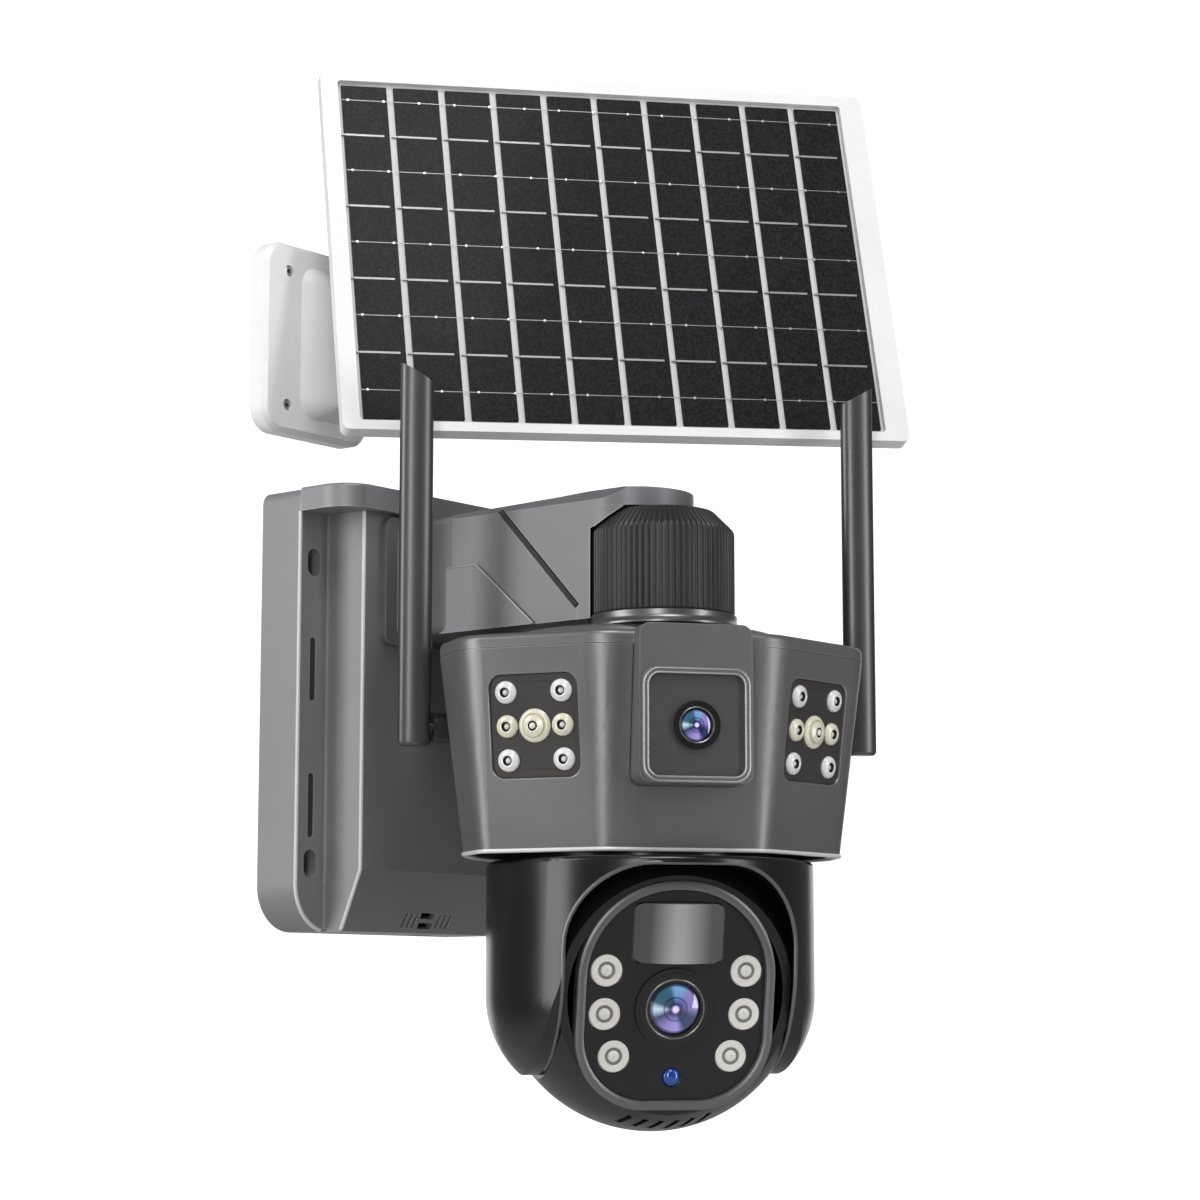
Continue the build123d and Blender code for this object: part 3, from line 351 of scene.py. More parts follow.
def coated_lens_painted_reflections(name, radius, place):
    """Multi-coated front element with painted reflections: blue, violet and teal sectors with pale glints,
    bright rings, and darker rings between the elements.
    """
    material, nodes, links, shader = new_material(name)
    parts = nodes.new("ShaderNodeSeparateXYZ")
    links.new(coordinates(nodes, links, place), parts.inputs["Vector"])
    angle = nodes.new("ShaderNodeMath")
    angle.operation = "ARCTAN2"
    links.new(parts.outputs["Z"], angle.inputs[0])
    links.new(parts.outputs["X"], angle.inputs[1])
    around = spread(nodes, links, angle.outputs["Value"], 0.0, 1.0, -math.pi, math.pi)
    flat = nodes.new("ShaderNodeCombineXYZ")
    links.new(parts.outputs["X"], flat.inputs["X"])
    links.new(parts.outputs["Z"], flat.inputs["Z"])
    length = nodes.new("ShaderNodeVectorMath")
    length.operation = "LENGTH"
    links.new(flat.outputs["Vector"], length.inputs[0])
    outward = spread(nodes, links, length.outputs["Value"], 0.0, 1.0, 0.0, radius * MM)
    sky, violet, navy = (0.20, 0.40, 0.66), (0.29, 0.24, 0.56), (0.02, 0.04, 0.14)
    teal, pale = (0.04, 0.13, 0.19), (0.66, 0.84, 0.95)
    # Painted reflections fixed on the glass: the coating's tints with pale painted glints around it, and
    # bright and dark rings outward.
    painted_reflection_sectors = ramp(nodes, links, around, [
        (0.0, pale), (0.07, navy), (0.17, violet), (0.27, scaled(violet, 1.5)), (0.33, navy), (0.44, navy),
        (0.53, violet), (0.64, violet), (0.69, sky), (0.76, sky), (0.80, teal), (0.95, teal), (1.0, pale),
    ])
    rings = ramp(nodes, links, outward, [
        (0.0, (0.9, 0.85, 1.0)), (0.12, (0.65, 0.55, 0.9)), (0.19, (0.05, 0.04, 0.14)),
        (0.30, (0.35, 0.33, 0.5)), (0.40, (0.65, 0.65, 0.8)), (0.45, (0.18, 0.18, 0.28)),
        (0.52, (0.8, 0.8, 0.9)), (0.86, (1.0, 1.0, 1.0)), (0.91, (0.3, 0.3, 0.38)),
        (1.0, (0.03, 0.03, 0.05)),
    ])
    inner = spread(nodes, links, outward, 0.0, 1.0, 0.12, 0.2)
    blend = nodes.new("ShaderNodeMix")
    blend.data_type = "RGBA"
    blend.blend_type = "MULTIPLY"
    links.new(inner, blend.inputs["Factor"])
    links.new(rings, blend.inputs[6])
    links.new(painted_reflection_sectors, blend.inputs[7])
    links.new(blend.outputs[2], shader.inputs["Base Color"])
    haze = noise(nodes, links, coordinates(nodes, links), 400.0, 2.0)
    links.new(spread(nodes, links, haze, 0.05, 0.10), shader.inputs["Roughness"])
    shader.inputs["Coat Weight"].default_value = 1.0
    shader.inputs["Coat Roughness"].default_value = 0.02
    return material


FIXED_GLASS_R, PTZ_GLASS_R = 5.8, 9.4
FIXED_LENS_AT = HEAD_FRAME @ shift(0, 0, -11.9)
PTZ_LENS_AT = BALL_FRAME @ shift(0, 0, -5.0)
MATERIALS = {
    "box_grey": plastic("box_grey", (0.195, 0.196, 0.203), 0.46, depth=0.08, edge_wear_and_highlight=0.6, flake=0.3),
    "arm_grey": plastic("arm_grey", (0.135, 0.136, 0.141), 0.44, depth=0.08, edge_wear_and_highlight=0.6, flake=0.3),
    "crown_grey": plastic("crown_grey", (0.156, 0.156, 0.159), 0.38, depth=0.06, edge_wear_and_highlight=0.6, flake=0.6),
    "collar_grey": plastic("collar_grey", (0.16, 0.16, 0.163), 0.30, depth=0.02, flake=0.85),
    "antenna_black": plastic("antenna_black", (0.10, 0.10, 0.102), 0.35, depth=0.01, vary=0.02, flake=0.85),
    # Colours for beads that paint highlights along edges: light, soft, and a lighter black for the yoke.
    "painted_edge_highlight": plastic("painted_edge_highlight", (0.60, 0.60, 0.61), 0.34, depth=0.02, flake=0.2),
    "soft_edge_highlight": plastic("soft_edge_highlight", (0.27, 0.27, 0.275), 0.30, depth=0.02, flake=0.4),
    "black_edge_highlight": plastic("black_edge_highlight", (0.12, 0.12, 0.122), 0.28, depth=0.02, flake=0.5),
    "charcoal": plastic("charcoal", (0.011, 0.011, 0.0115), 0.42, depth=0.06, edge_wear_and_highlight=0.2),
    "black_gloss": plastic("black_gloss", (0.0060, 0.0060, 0.0064), 0.25, 900.0, 0.005, 0.03, edge_wear_and_highlight=0.2),
    "black_satin": plastic("black_satin", (0.0085, 0.0085, 0.009), 0.27, depth=0.04),
    "ring_satin": plastic("ring_satin", (0.115, 0.115, 0.118), 0.34, depth=0.05, edge_wear_and_highlight=0.7, flake=0.5),
    "white_plastic": plastic("white_plastic", (0.66, 0.66, 0.665), 0.42, depth=0.05),
    "window": plastic("window", (0.048, 0.048, 0.049), 0.40, 900.0, 0.01),
    "face_black": plastic("face_black", (0.006, 0.006, 0.0065), 0.30, 900.0, 0.01),
    "lamp_plate": plastic("lamp_plate", (0.034, 0.031, 0.030), 0.34, 900.0, 0.08),
    "pir_film": pir_film("pir_film", 34.0),
    "led_white": plastic("led_white", (0.60, 0.59, 0.585), 0.26, coat=0.5, depth=0.02),
    "led_warm": plastic("led_warm", (0.58, 0.555, 0.44), 0.24, coat=0.5, depth=0.02),
    # Dark colour of the lamp wells: painted shade.
    "led_well_shade": plastic("led_well_shade", (0.030, 0.029, 0.027), 0.35, depth=0.03),
    "ir_flange": plastic("ir_flange", (0.58, 0.565, 0.535), 0.38, depth=0.04),
    "ir_groove": plastic("ir_groove", (0.15, 0.14, 0.12), 0.40, depth=0.03),
    "circuit": plastic("circuit", (0.02, 0.10, 0.045), 0.4),
    "acetal": plastic("acetal", (0.66, 0.65, 0.60), 0.4),
    "cell_wrap": plastic("cell_wrap", (0.05, 0.12, 0.38), 0.25, coat=0.4),
    "rubber": plastic("rubber", (0.018, 0.018, 0.019), 0.72, depth=0.3),
    "sensor_blue": plastic("sensor_blue", (0.004, 0.040, 0.240), 0.12, coat=0.8, depth=0.01),
    "silicon": silicon("silicon", (0.0050, 0.0052, 0.0058), 1.3),
    "steel": metal("steel", (0.56, 0.56, 0.57), 0.3),
    "dark_steel": metal("dark_steel", (0.22, 0.22, 0.225), 0.34),
    "ribbon": metal("ribbon", (0.34, 0.34, 0.34), 0.45),
    "brass": metal("brass", (0.62, 0.48, 0.22), 0.28),
    "reflector": metal("reflector", (0.80, 0.80, 0.78), 0.14),
    "panel_glass": clear_cover("panel_glass", (0.01, 0.01, 0.012), 0.05, 0.12),
    "fixed_coating": coated_lens_painted_reflections("fixed_coating", FIXED_GLASS_R, FIXED_LENS_AT),
    "ptz_coating": coated_lens_painted_reflections("ptz_coating", PTZ_GLASS_R, PTZ_LENS_AT),
}
MATERIALS["lens_glass"] = MATERIALS["ptz_coating"]


# ---------------------------------------------------------------- CAD nodes: edges and materials
def soften(piece, width):
    """Welds the imported faces and rounds the sharp edges by a moulding radius in millimetres."""
    weld = piece.modifiers.new("weld", "WELD")
    weld.merge_threshold = 0.01 * MM
    bevel = piece.modifiers.new("edges", "BEVEL")
    bevel.width = width * MM
    bevel.segments = 2
    bevel.limit_method = "ANGLE"
    bevel.angle_limit = math.radians(32)
    bevel.use_clamp_overlap = True
    weighted = piece.modifiers.new("normals", "WEIGHTED_NORMAL")
    weighted.keep_sharp = True


EDGE_WIDTH = {
    "rear_case": 0.9, "front_case": 0.9, "rain_hood": 0.8, "arm_root": 1.0, "arm_boom": 1.0,
    "crown_shell": 0.5, "crown_lid": 0.4, "lens_box": 0.9, "fixed_window": 0.3, "led_panels": 0.3,
    "yoke_shell": 1.0, "ball_front_shell": 0.4, "face_ring": 1.2, "face_window": 0.3,
    "panel_frame": 0.9, "wall_bracket": 0.9, "swing_link": 0.5,
    "cable_gland": 0.4, "power_button": 0.3, "junction_box": 0.8, "panel_hinge": 0.4, "panel_back": 0.3,
    "tilt_bolt": 0.4, "swivel_pin": 0.3, "neck_post": 0.3, "antenna_hinges": 0.4, "fixed_lens_barrel": 0.25,
    "ptz_lens_barrel": 0.3,
}
# Nodes whose visible material differs from their slot's
REPAINTED = {
    "arm_root": "arm_grey", "arm_boom": "arm_grey", "face_ring": "ring_satin", "face_window": "face_black",
    "led_panels": "lamp_plate", "antenna_hinges": "black_satin",
}
SLOTS = {entry["node"]: entry["material_slot"] for entry in frame["record"]["subparts"]}
for node, piece in NODES.items():
    piece.data.materials.clear()
    piece.data.materials.append(MATERIALS[REPAINTED.get(node, SLOTS[node])])
    if node in EDGE_WIDTH:
        soften(piece, EDGE_WIDTH[node])


# ---------------------------------------------------------------- mesh building blocks, in millimetres
def finish_piece(name, mesh_data, place, material, body, replaces=()):
    """Makes the millimetre mesh an object in metres, placed, painted and riding on its body."""
    bmesh.ops.scale(mesh_data, vec=(MM, MM, MM), verts=mesh_data.verts)
    bmesh.ops.recalc_face_normals(mesh_data, faces=mesh_data.faces)
    mesh = bpy.data.meshes.new(name)
    mesh_data.to_mesh(mesh)
    mesh_data.free()
    mesh.transform(place)
    mesh.shade_smooth()
    mesh.set_sharp_from_angle(angle=math.radians(35))
    mesh.materials.append(MATERIALS[material])
    piece = bpy.data.objects.new(name, mesh)
    bpy.context.scene.collection.objects.link(piece)
    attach(piece, body)
    if replaces:
        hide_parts(*replaces)


def span(mesh_data, one, two):
    """Joins two rings of vertices; a ring of one vertex makes a fan."""
    count = max(len(one), len(two))
    for step in range(count):
        after = (step + 1) % count
        corners = [one[step % len(one)], one[after % len(one)], two[after % len(two)], two[step % len(two)]]
        unique = [v for place, v in enumerate(corners) if v not in corners[:place]]
        mesh_data.faces.new(unique)


def turned(mesh_data, profile, place=Matrix.Identity(4), steps=48, ring=False):
    """A turned solid facing -Y: profile is (radius, forward) pairs, back to front. A ring joins its ends."""
    rings = []
    for radius, forward in profile:
        around = [2 * math.pi * step / steps for step in range(steps)] if radius > 0 else [0.0]
        points = [Vector((radius * math.cos(a), -forward, radius * math.sin(a))) for a in around]
        rings.append([mesh_data.verts.new(place @ point) for point in points])
    for one, two in zip(rings, rings[1:]):
        span(mesh_data, one, two)
    if ring:
        span(mesh_data, rings[-1], rings[0])


def cuboid(mesh_data, low, high):
    """A box between two opposite corners, for flat foils and packing."""
    sides = list(zip(low, high))
    verts = [mesh_data.verts.new((x, y, z)) for x in sides[0] for y in sides[1] for z in sides[2]]
    for face in ((0, 1, 3, 2), (4, 6, 7, 5), (0, 4, 5, 1), (2, 3, 7, 6), (0, 2, 6, 4), (1, 5, 7, 3)):
        mesh_data.faces.new([verts[corner] for corner in face])


def bead(mesh_data, points, normals, radius, closed=True, sides=8):
    """A round bead along points; the normals, one or one a point, say which way it faces."""
    rings = []
    last = len(points) - 1
    for index, point in enumerate(points):
        after = points[(index + 1) % len(points)] if closed else points[min(index + 1, last)]
        before = points[index - 1] if closed else points[max(index - 1, 0)]
        normal = normals[index] if isinstance(normals, list) else normals
        out = (after - before).cross(normal).normalized()
        around = [2 * math.pi * side / sides for side in range(sides)]
        ring = [point + (out * math.cos(a) + normal * math.sin(a)) * radius for a in around]
        rings.append([mesh_data.verts.new(corner) for corner in ring])
    for one, two in zip(rings, rings[1:] + (rings[:1] if closed else [])):
        span(mesh_data, one, two)
    if not closed:
        mesh_data.faces.new(rings[0])
        mesh_data.faces.new(rings[-1])


def arc(centre, radius, start, end, steps=10):
    """Points (a, b) on an arc, from start to end degrees."""
    angles = [math.radians(start + (end - start) * step / steps) for step in range(steps + 1)]
    return [(centre[0] + radius * math.cos(a), centre[1] + radius * math.sin(a)) for a in angles]


def rounded_loop(width, height, radius):
    """The (x, z) outline of a rounded rectangle."""
    x, z = width / 2 - radius, height / 2 - radius
    corners = ((x, z, 0), (-x, z, 90), (-x, -z, 180), (x, -z, 270))
    return [p for cx, cz, start in corners for p in arc((cx, cz), radius, start, start + 90, 6)]


def domed_plate(mesh_data, width, height, corner, back, edge, crown, columns=48, rows=24):
    """A rounded plate whose front bows forward by crown across its width."""
    grid = []
    for row in range(rows + 1):
        z = height * (row / rows - 0.5)
        over = max(0.0, abs(z) - (height / 2 - corner))
        half = width / 2 - corner + math.sqrt(max(0.0, corner ** 2 - over ** 2))
        line = []
        for column in range(columns + 1):
            x = half * (2 * column / columns - 1)
            forward = edge + crown * (1 - (2 * x / width) ** 2)
            line.append(mesh_data.verts.new((x, -forward, z)))
        grid.append(line)
    for low, high in zip(grid, grid[1:]):
        for column in range(columns):
            mesh_data.faces.new((low[column], low[column + 1], high[column + 1], high[column]))
    rim = grid[0] + [line[-1] for line in grid[1:-1]] + grid[-1][::-1] + [line[0] for line in grid[-2:0:-1]]
    base = [mesh_data.verts.new((v.co.x, -back, v.co.z)) for v in rim]
    span(mesh_data, rim, base)
    mesh_data.faces.new(base)


def screw(heads, sockets, place, radius):
    """A pan-head screw standing on a face that looks along -Y, with a socket in its head."""
    height, pit = radius * 0.55, radius * 0.42
    turned(heads, [(pit, 0), (radius, 0), (radius, height * 0.45), (radius * 0.86, height * 0.85),
                   (radius * 0.6, height), (pit, height)], place, 32, ring=True)
    turned(sockets, [(0, 0.05), (pit + 0.02, 0.05), (pit + 0.02, height * 0.3), (0, height * 0.3)], place, 6)


# ---------------------------------------------------------------- solar panel
PANEL_W, PANEL_H = 233.3, 163.7
BORDER_L, BORDER_R, BORDER_T, BORDER_B = 7.0, 10.0, 5.0, 4.0
CELLS, GAP, INSET = 10, 2.8, 1.5
AREA_X0, AREA_X1 = -PANEL_W / 2 + BORDER_L, PANEL_W / 2 - BORDER_R
AREA_Z0, AREA_Z1 = -PANEL_H / 2 + BORDER_B, PANEL_H / 2 - BORDER_T
CELL_FRONT = 1.9
CELL_END = 0.88
STRIP_W = (AREA_X1 - AREA_X0 - 2 * INSET - (CELLS - 1) * GAP) / CELLS
ROWS, ROW_SHARE = 9, 0.107
PAD_PITCH, FIRST_PAD, PAD_R = 14.8, 2.5, 0.6
PRINTED_HALF_W, TAB_HALF_W, TAB_LENGTH, RIBBON_HALF_W, RIBBON_START = 0.14, 0.25, 1.9, 0.42, 0.4


def cell_row(ribbons, pads, row):
    """One row across the cells: a ribbon and its tab on each cell, or a printed line with soldered pads."""
    z = AREA_Z1 - (AREA_Z1 - AREA_Z0) * ROW_SHARE * (row + 0.5)
    start, end = AREA_X0 + INSET, AREA_X1 - INSET
    if row % 2:
        for cell in range(CELLS):
            x = start + cell * (STRIP_W + GAP)
            foil_x = x + RIBBON_START
            cuboid(ribbons, (foil_x, -CELL_FRONT - 0.12, z - RIBBON_HALF_W),
                   (x + STRIP_W * CELL_END, -CELL_FRONT, z + RIBBON_HALF_W))
            cuboid(ribbons, (x - TAB_LENGTH, -CELL_FRONT - 0.06, z - TAB_HALF_W),
                   (foil_x, -CELL_FRONT + 0.9, z + TAB_HALF_W))
        return
    cuboid(ribbons, (start, -CELL_FRONT - 0.05, z - PRINTED_HALF_W), (end, -CELL_FRONT, z + PRINTED_HALF_W))
    top = CELL_FRONT + 0.12
    profile = [(0, CELL_FRONT), (PAD_R, CELL_FRONT), (PAD_R - 0.1, top), (0, top + 0.04)]
    x = start + FIRST_PAD
    while x < end:
        turned(pads, profile, Matrix.Translation((x, 0, z)), 12)
        x += PAD_PITCH


def panel_details():
    backsheet, ribbons, pads = bmesh.new(), bmesh.new(), bmesh.new()
    cuboid(backsheet, (AREA_X0 + 0.1, -1.05, AREA_Z0 + 0.1), (AREA_X1 - 0.1, -0.3, AREA_Z1 - 0.1))
    for row in range(ROWS):
        cell_row(ribbons, pads, row)
    finish_piece("panel_backsheet", backsheet, PANEL_FRAME, "white_plastic", "panel")
    finish_piece("cell_ribbons", ribbons, PANEL_FRAME, "ribbon", "panel")
    finish_piece("cell_pads", pads, PANEL_FRAME, "steel", "panel")


panel_details()

# ---------------------------------------------------------------- lamps in the crown
FACET_Y, FACET_HALF, SIDE_X, SIDE_Y = -58.0, 33.5, 78.5, -25.5
CROWN_Z0, CROWN_Z1, CROWN_TAPER, LAMPS_Z = -56.0, 18.3, math.radians(7.2), -10.8
FACET_ANGLE = math.atan2(SIDE_Y - FACET_Y, SIDE_X - FACET_HALF)
LAMP_COLUMN, LAMP_ROW, LAMP_R, MAIN_LAMP_R = 11.0, 12.5, 4.2, 6.2


def facet_frame(side):
    """The middle of a side facet of the crown, x to the right, -Y straight out and z up the slope."""
    inward = (CROWN_Z1 - LAMPS_Z) * math.tan(CROWN_TAPER)
    out_x, out_y = side * math.sin(FACET_ANGLE), -math.cos(FACET_ANGLE)
    middle_x = (FACET_HALF + SIDE_X) / 2 * side - out_x * inward
    middle = Vector((middle_x, (FACET_Y + SIDE_Y) / 2 - out_y * inward, LAMPS_Z))
    across = Vector((math.cos(FACET_ANGLE), side * math.sin(FACET_ANGLE), 0))
    normal = Vector((out_x * math.cos(CROWN_TAPER), out_y * math.cos(CROWN_TAPER), -math.sin(CROWN_TAPER)))
    upward = normal.cross(across)
    columns = Matrix((across, -normal, upward)).transposed().to_4x4()
    return Matrix.Translation(middle) @ columns


def lamp(collars, wells, tips, place, radius, stages=1):
    """A collar rising to a lip, a dark well inside it that paints the shade in the lamp, and a small bright
    tip low or high in the well that paints the lamp's highlight.
    """
    foot, top, lip = -1.4, 0.9, radius * 0.44
    profile = [(radius, foot), (radius, -0.5), (radius * 0.93, 0.1), (radius * 0.80, 0.45)]
    if stages > 1:
        top, lip = 1.9, radius * 0.30
        profile += [(radius * 0.74, 0.5), (radius * 0.72, 0.15), (radius * 0.66, 0.15), (radius * 0.63, 1.3)]
    profile += [(lip + 0.45, top), (lip, top - 0.15), (lip, foot)]
    turned(collars, profile, place, 40, ring=True)
    turned(wells, [(0, foot), (lip + 0.02, foot), (lip + 0.02, top - 0.25), (lip - 0.1, top - 0.3),
                   (lip - 0.1, foot + 0.3), (0, foot + 0.3)], place, 32)
    tip = lip * 0.62
    rise = top if stages > 1 else foot + 1.1
    turned(tips, [(0, foot + 0.2), (tip, foot + 0.2), (tip, rise), (tip * 0.8, rise + 0.3),
                  (tip * 0.4, rise + 0.5), (0, rise + 0.55)], place, 24)


def crown_lamps():
    cool, warm, wells, tips = bmesh.new(), bmesh.new(), bmesh.new(), bmesh.new()
    for side in (-1, 1):
        facet = facet_frame(side)
        lamp(warm, wells, tips, facet, MAIN_LAMP_R, stages=2)
        for x in (-LAMP_COLUMN, LAMP_COLUMN):
            for row in (-1, 0, 1):
                place = facet @ Matrix.Translation((x, 0, row * LAMP_ROW))
                lamp(cool if row else warm, wells, tips, place, LAMP_R)
    finish_piece("lamp_collars_cool", cool, HEAD_FRAME, "led_white", "head", ("led_emitters",))
    finish_piece("lamp_collars_warm", warm, HEAD_FRAME, "led_warm", "head")
    finish_piece("lamp_wells", wells, HEAD_FRAME, "led_well_shade", "head")
    finish_piece("lamp_tip_highlights", tips, HEAD_FRAME, "led_white", "head")


crown_lamps()


# ---------------------------------------------------------------- lenses
def lens(name, place, body, glass_r, front, silver_r, outer_r):
    """Front element, retaining ring and bright ring of a lens that looks along -Y, with its rim at front."""
    glass, black, bright = bmesh.new(), bmesh.new(), bmesh.new()
    back, crown = front - glass_r * 0.4, front - 1.0 + glass_r * 0.16
    around = [math.pi / 2 * (1 - step / 12) for step in range(12)]
    dome = [(glass_r * math.sin(a), front - 1.0 + glass_r * 0.16 * (math.cos(a) ** 2)) for a in around]
    turned(glass, [(0, back), (glass_r, back)] + dome + [(0, crown)])
    inner, outer = glass_r + 0.03, silver_r - 0.35
    turned(black, [(inner, back), (outer, back), (outer, front - 0.15), (glass_r + 0.5, front - 0.15),
                   (inner, front - 0.9)], ring=True)
    inner, outer = silver_r - 0.32, silver_r + 0.3
    turned(bright, [(inner, back), (outer, back), (outer, front + 0.1), (silver_r, front + 0.3),
                    (inner, front + 0.1)], ring=True)
    for radius in (outer_r - 0.9, outer_r + 0.6):
        turned(black, [(radius - 0.3, front - 0.3), (radius + 0.3, front - 0.3),
                       (radius + 0.25, front + 0.25), (radius - 0.25, front + 0.25)], ring=True)
    coating, covered = name + "_coating", (name + "_lens_glass",)
    finish_piece(name + "_lens_element", glass, place, coating, body, covered)
    finish_piece(name + "_lens_retainer", black, place, "black_gloss", body)
    finish_piece(name + "_lens_bright_ring", bright, place, "dark_steel", body)


lens("fixed", FIXED_LENS_AT, "head", FIXED_GLASS_R, front=66.4, silver_r=6.5, outer_r=7.9)
lens("ptz", PTZ_LENS_AT, "ball", PTZ_GLASS_R, front=37.7, silver_r=10.9, outer_r=14.2)

# ---------------------------------------------------------------- ball face
IR_SPOTS = [(side * x, z) for side in (-1, 1) for x, z in ((26.4, 9.0), (26.4, -7.0), (22.2, -22.6))]
FACE_FRONT, FACE_BACK, IR_R = 36.9, 33.0, 5.9
PIR_W, PIR_H, PIR_CORNER, PIR_Z, PIR_BOW, SENSOR_Z = 34.0, 22.0, 3.2, 23.0, 2.6, -30.4


def infrared_lamps():
    flanges, grooves, chips = bmesh.new(), bmesh.new(), bmesh.new()
    front = FACE_FRONT + 0.25
    for x, z in IR_SPOTS:
        place = Matrix.Translation((x, 0, z))
        turned(flanges, [(3.15, FACE_BACK), (IR_R, FACE_BACK), (IR_R, front - 0.4), (IR_R - 0.35, front),
                         (3.5, front - 0.1), (3.15, front - 0.5)], place, ring=True)
        turned(grooves, [(0, FACE_BACK), (3.17, FACE_BACK), (3.17, front - 0.35), (2.6, front - 0.55),
                         (0, front - 0.6)], place, 32)
        turned(chips, [(0, 34), (2.15, 34), (2.15, front - 0.5), (1.9, front - 0.25), (1.1, front - 0.1),
                       (0.35, front - 0.05), (0.3, front - 0.3), (0, front - 0.3)], place, 32)
    covered = ("ir_reflectors",)
    finish_piece("infrared_flanges", flanges, BALL_FRAME, "ir_flange", "ball", covered)
    finish_piece("infrared_grooves", grooves, BALL_FRAME, "ir_groove", "ball")
    finish_piece("infrared_chips", chips, BALL_FRAME, "ir_flange", "ball", ("ir_emitters",))


def sensor_dome():
    dome = bmesh.new()
    profile = [(0, FACE_BACK), (3.4, FACE_BACK), (3.4, FACE_FRONT - 0.4), (3.2, FACE_FRONT + 0.2)]
    profile += [(3.2 * math.cos(a), FACE_FRONT + 0.2 + 1.5 * math.sin(a)) for a in (0.35, 0.7, 1.0, 1.3)]
    turned(dome, profile + [(0, FACE_FRONT + 1.7)])
    place = BALL_FRAME @ shift(0, 0, SENSOR_Z)
    finish_piece("sensor_dome", dome, place, "sensor_blue", "ball", ("light_sensor",))


def pir_cover():
    cover = bmesh.new()
    domed_plate(cover, PIR_W, PIR_H, PIR_CORNER, FACE_BACK, FACE_FRONT, PIR_BOW)
    place = BALL_FRAME @ shift(0, 0, PIR_Z)
    finish_piece("pir_cover", cover, place, "pir_film", "ball", ("pir_window",))


infrared_lamps()
sensor_dome()
pir_cover()


# ---------------------------------------------------------------- crown lip and neck collar
def outline_at(node, place, height):
    """The outer loop of a convex CAD piece at a height in the given frame, in millimetres."""
    inverse = place.inverted()
    points = [inverse @ vertex.co / MM for vertex in NODES[node].data.vertices]
    level = [Vector((p.x, p.y)) for p in points if abs(p.z - height) < 0.15]
    loop = [level[i] for i in convex_hull_2d(level)]
    return [p for index, p in enumerate(loop) if (p - loop[index - 1]).length > 0.3]


def crown_lip_highlight():
    lip = bmesh.new()
    # A light grey bead along the crown's lower edge: a painted highlight on a lip that faces down.
    loop = [Vector((p.x, p.y, CROWN_Z0 + 0.2)) for p in outline_at("crown_shell", HEAD_FRAME, CROWN_Z0)]
    bead(lip, loop, UP, 0.8)
    finish_piece("crown_lip_highlight", lip, HEAD_FRAME, "painted_edge_highlight", "head")


def collar():
    flare = bmesh.new()
    turned(flare, [(5.6, 28), (29.8, 28), (29.8, 28.7), (28.9, 29.4), (28.2, 30.2), (27.9, 31.2),
                   (28.1, 32.0), (28.0, 32.8), (27.2, 33.25), (5.6, 33.25)], UPWARD, 96, ring=True)
    finish_piece("flared_collar", flare, NECK_FRAME, "collar_grey", "head", ("neck_collar",))


KNOB_R, KNOB_Z0, KNOB_Z1, KNOB_CHAMFER, KNOB_BORE_R = 27.2, 33.3, 73.3, 8.0, 5.6
KNOB_RIBS, RIB_DEPTH, STEPS_PER_RIB = 72, 0.6, 8


def ribbed_knob():
    """The neck knob: even rounded ribs that run up over its shoulder and fade out on the flat top."""
    knob = bmesh.new()
    shoulder_z, top_r = KNOB_Z1 - KNOB_CHAMFER, KNOB_R - KNOB_CHAMFER
    profile = [
        (KNOB_BORE_R, KNOB_Z0, 0), (KNOB_R - 0.9, KNOB_Z0, 0.3), (KNOB_R - 0.2, KNOB_Z0 + 0.3, 1),
        (KNOB_R, KNOB_Z0 + 1, 1), (KNOB_R, shoulder_z - 1.2, 1), (KNOB_R - 0.3, shoulder_z - 0.1, 1),
        (KNOB_R - 1.1, shoulder_z + 1.0, 1), (top_r + 1.2, KNOB_Z1 - 1.3, 1),
        (top_r + 0.2, KNOB_Z1 - 0.4, 0.5), (top_r - 1.0, KNOB_Z1 - 0.05, 0), (top_r - 2.0, KNOB_Z1, 0),
        (KNOB_BORE_R, KNOB_Z1, 0),
    ]
    steps = KNOB_RIBS * STEPS_PER_RIB
    rings = []
    for radius, z, share in profile:
        ring = []
        for step in range(steps):
            a = 2 * math.pi * step / steps
            cut = radius - (0.5 - 0.5 * math.cos(KNOB_RIBS * a)) ** 2 * RIB_DEPTH * share
            ring.append(knob.verts.new((cut * math.cos(a), cut * math.sin(a), z)))
        rings.append(ring)
    for one, two in zip(rings, rings[1:] + rings[:1]):
        span(knob, one, two)
    finish_piece("ribbed_knob", knob, NECK_FRAME, "charcoal", "head", ("swivel_knob",))


def arm_cheeks():
    """Webs under the arm's top plate, inside its outline, that close the corner over the knob's shoulder."""
    webs = bmesh.new()
    gap, arm_half, plate_z, plate_end = 1.0, 22.95, 74.6, 14.0
    start, stop, steps = 15.2, 3.0, 14
    cone = KNOB_Z1 - KNOB_CHAMFER + KNOB_R + gap * 1.4
    for side in (-1, 1):
        rings = []
        for step in range(steps + 1):
            y = start + (stop - start) * step / steps
            outer = math.sqrt(arm_half ** 2 - max(0.0, plate_end - y) ** 2)
            inner = math.sqrt((KNOB_R - KNOB_CHAMFER + gap) ** 2 - y ** 2)
            corners = ((outer, cone - math.hypot(outer, y)), (outer, plate_z), (inner, plate_z))
            rings.append([webs.verts.new((side * x, y, z)) for x, z in corners])
        for one, two in zip(rings, rings[1:]):
            span(webs, one, two)
        webs.faces.new(rings[0])
        webs.faces.new(rings[-1])
    finish_piece("arm_cheeks", webs, NECK_FRAME, "arm_grey", "base")


crown_lip_highlight()
collar()
ribbed_knob()
arm_cheeks()

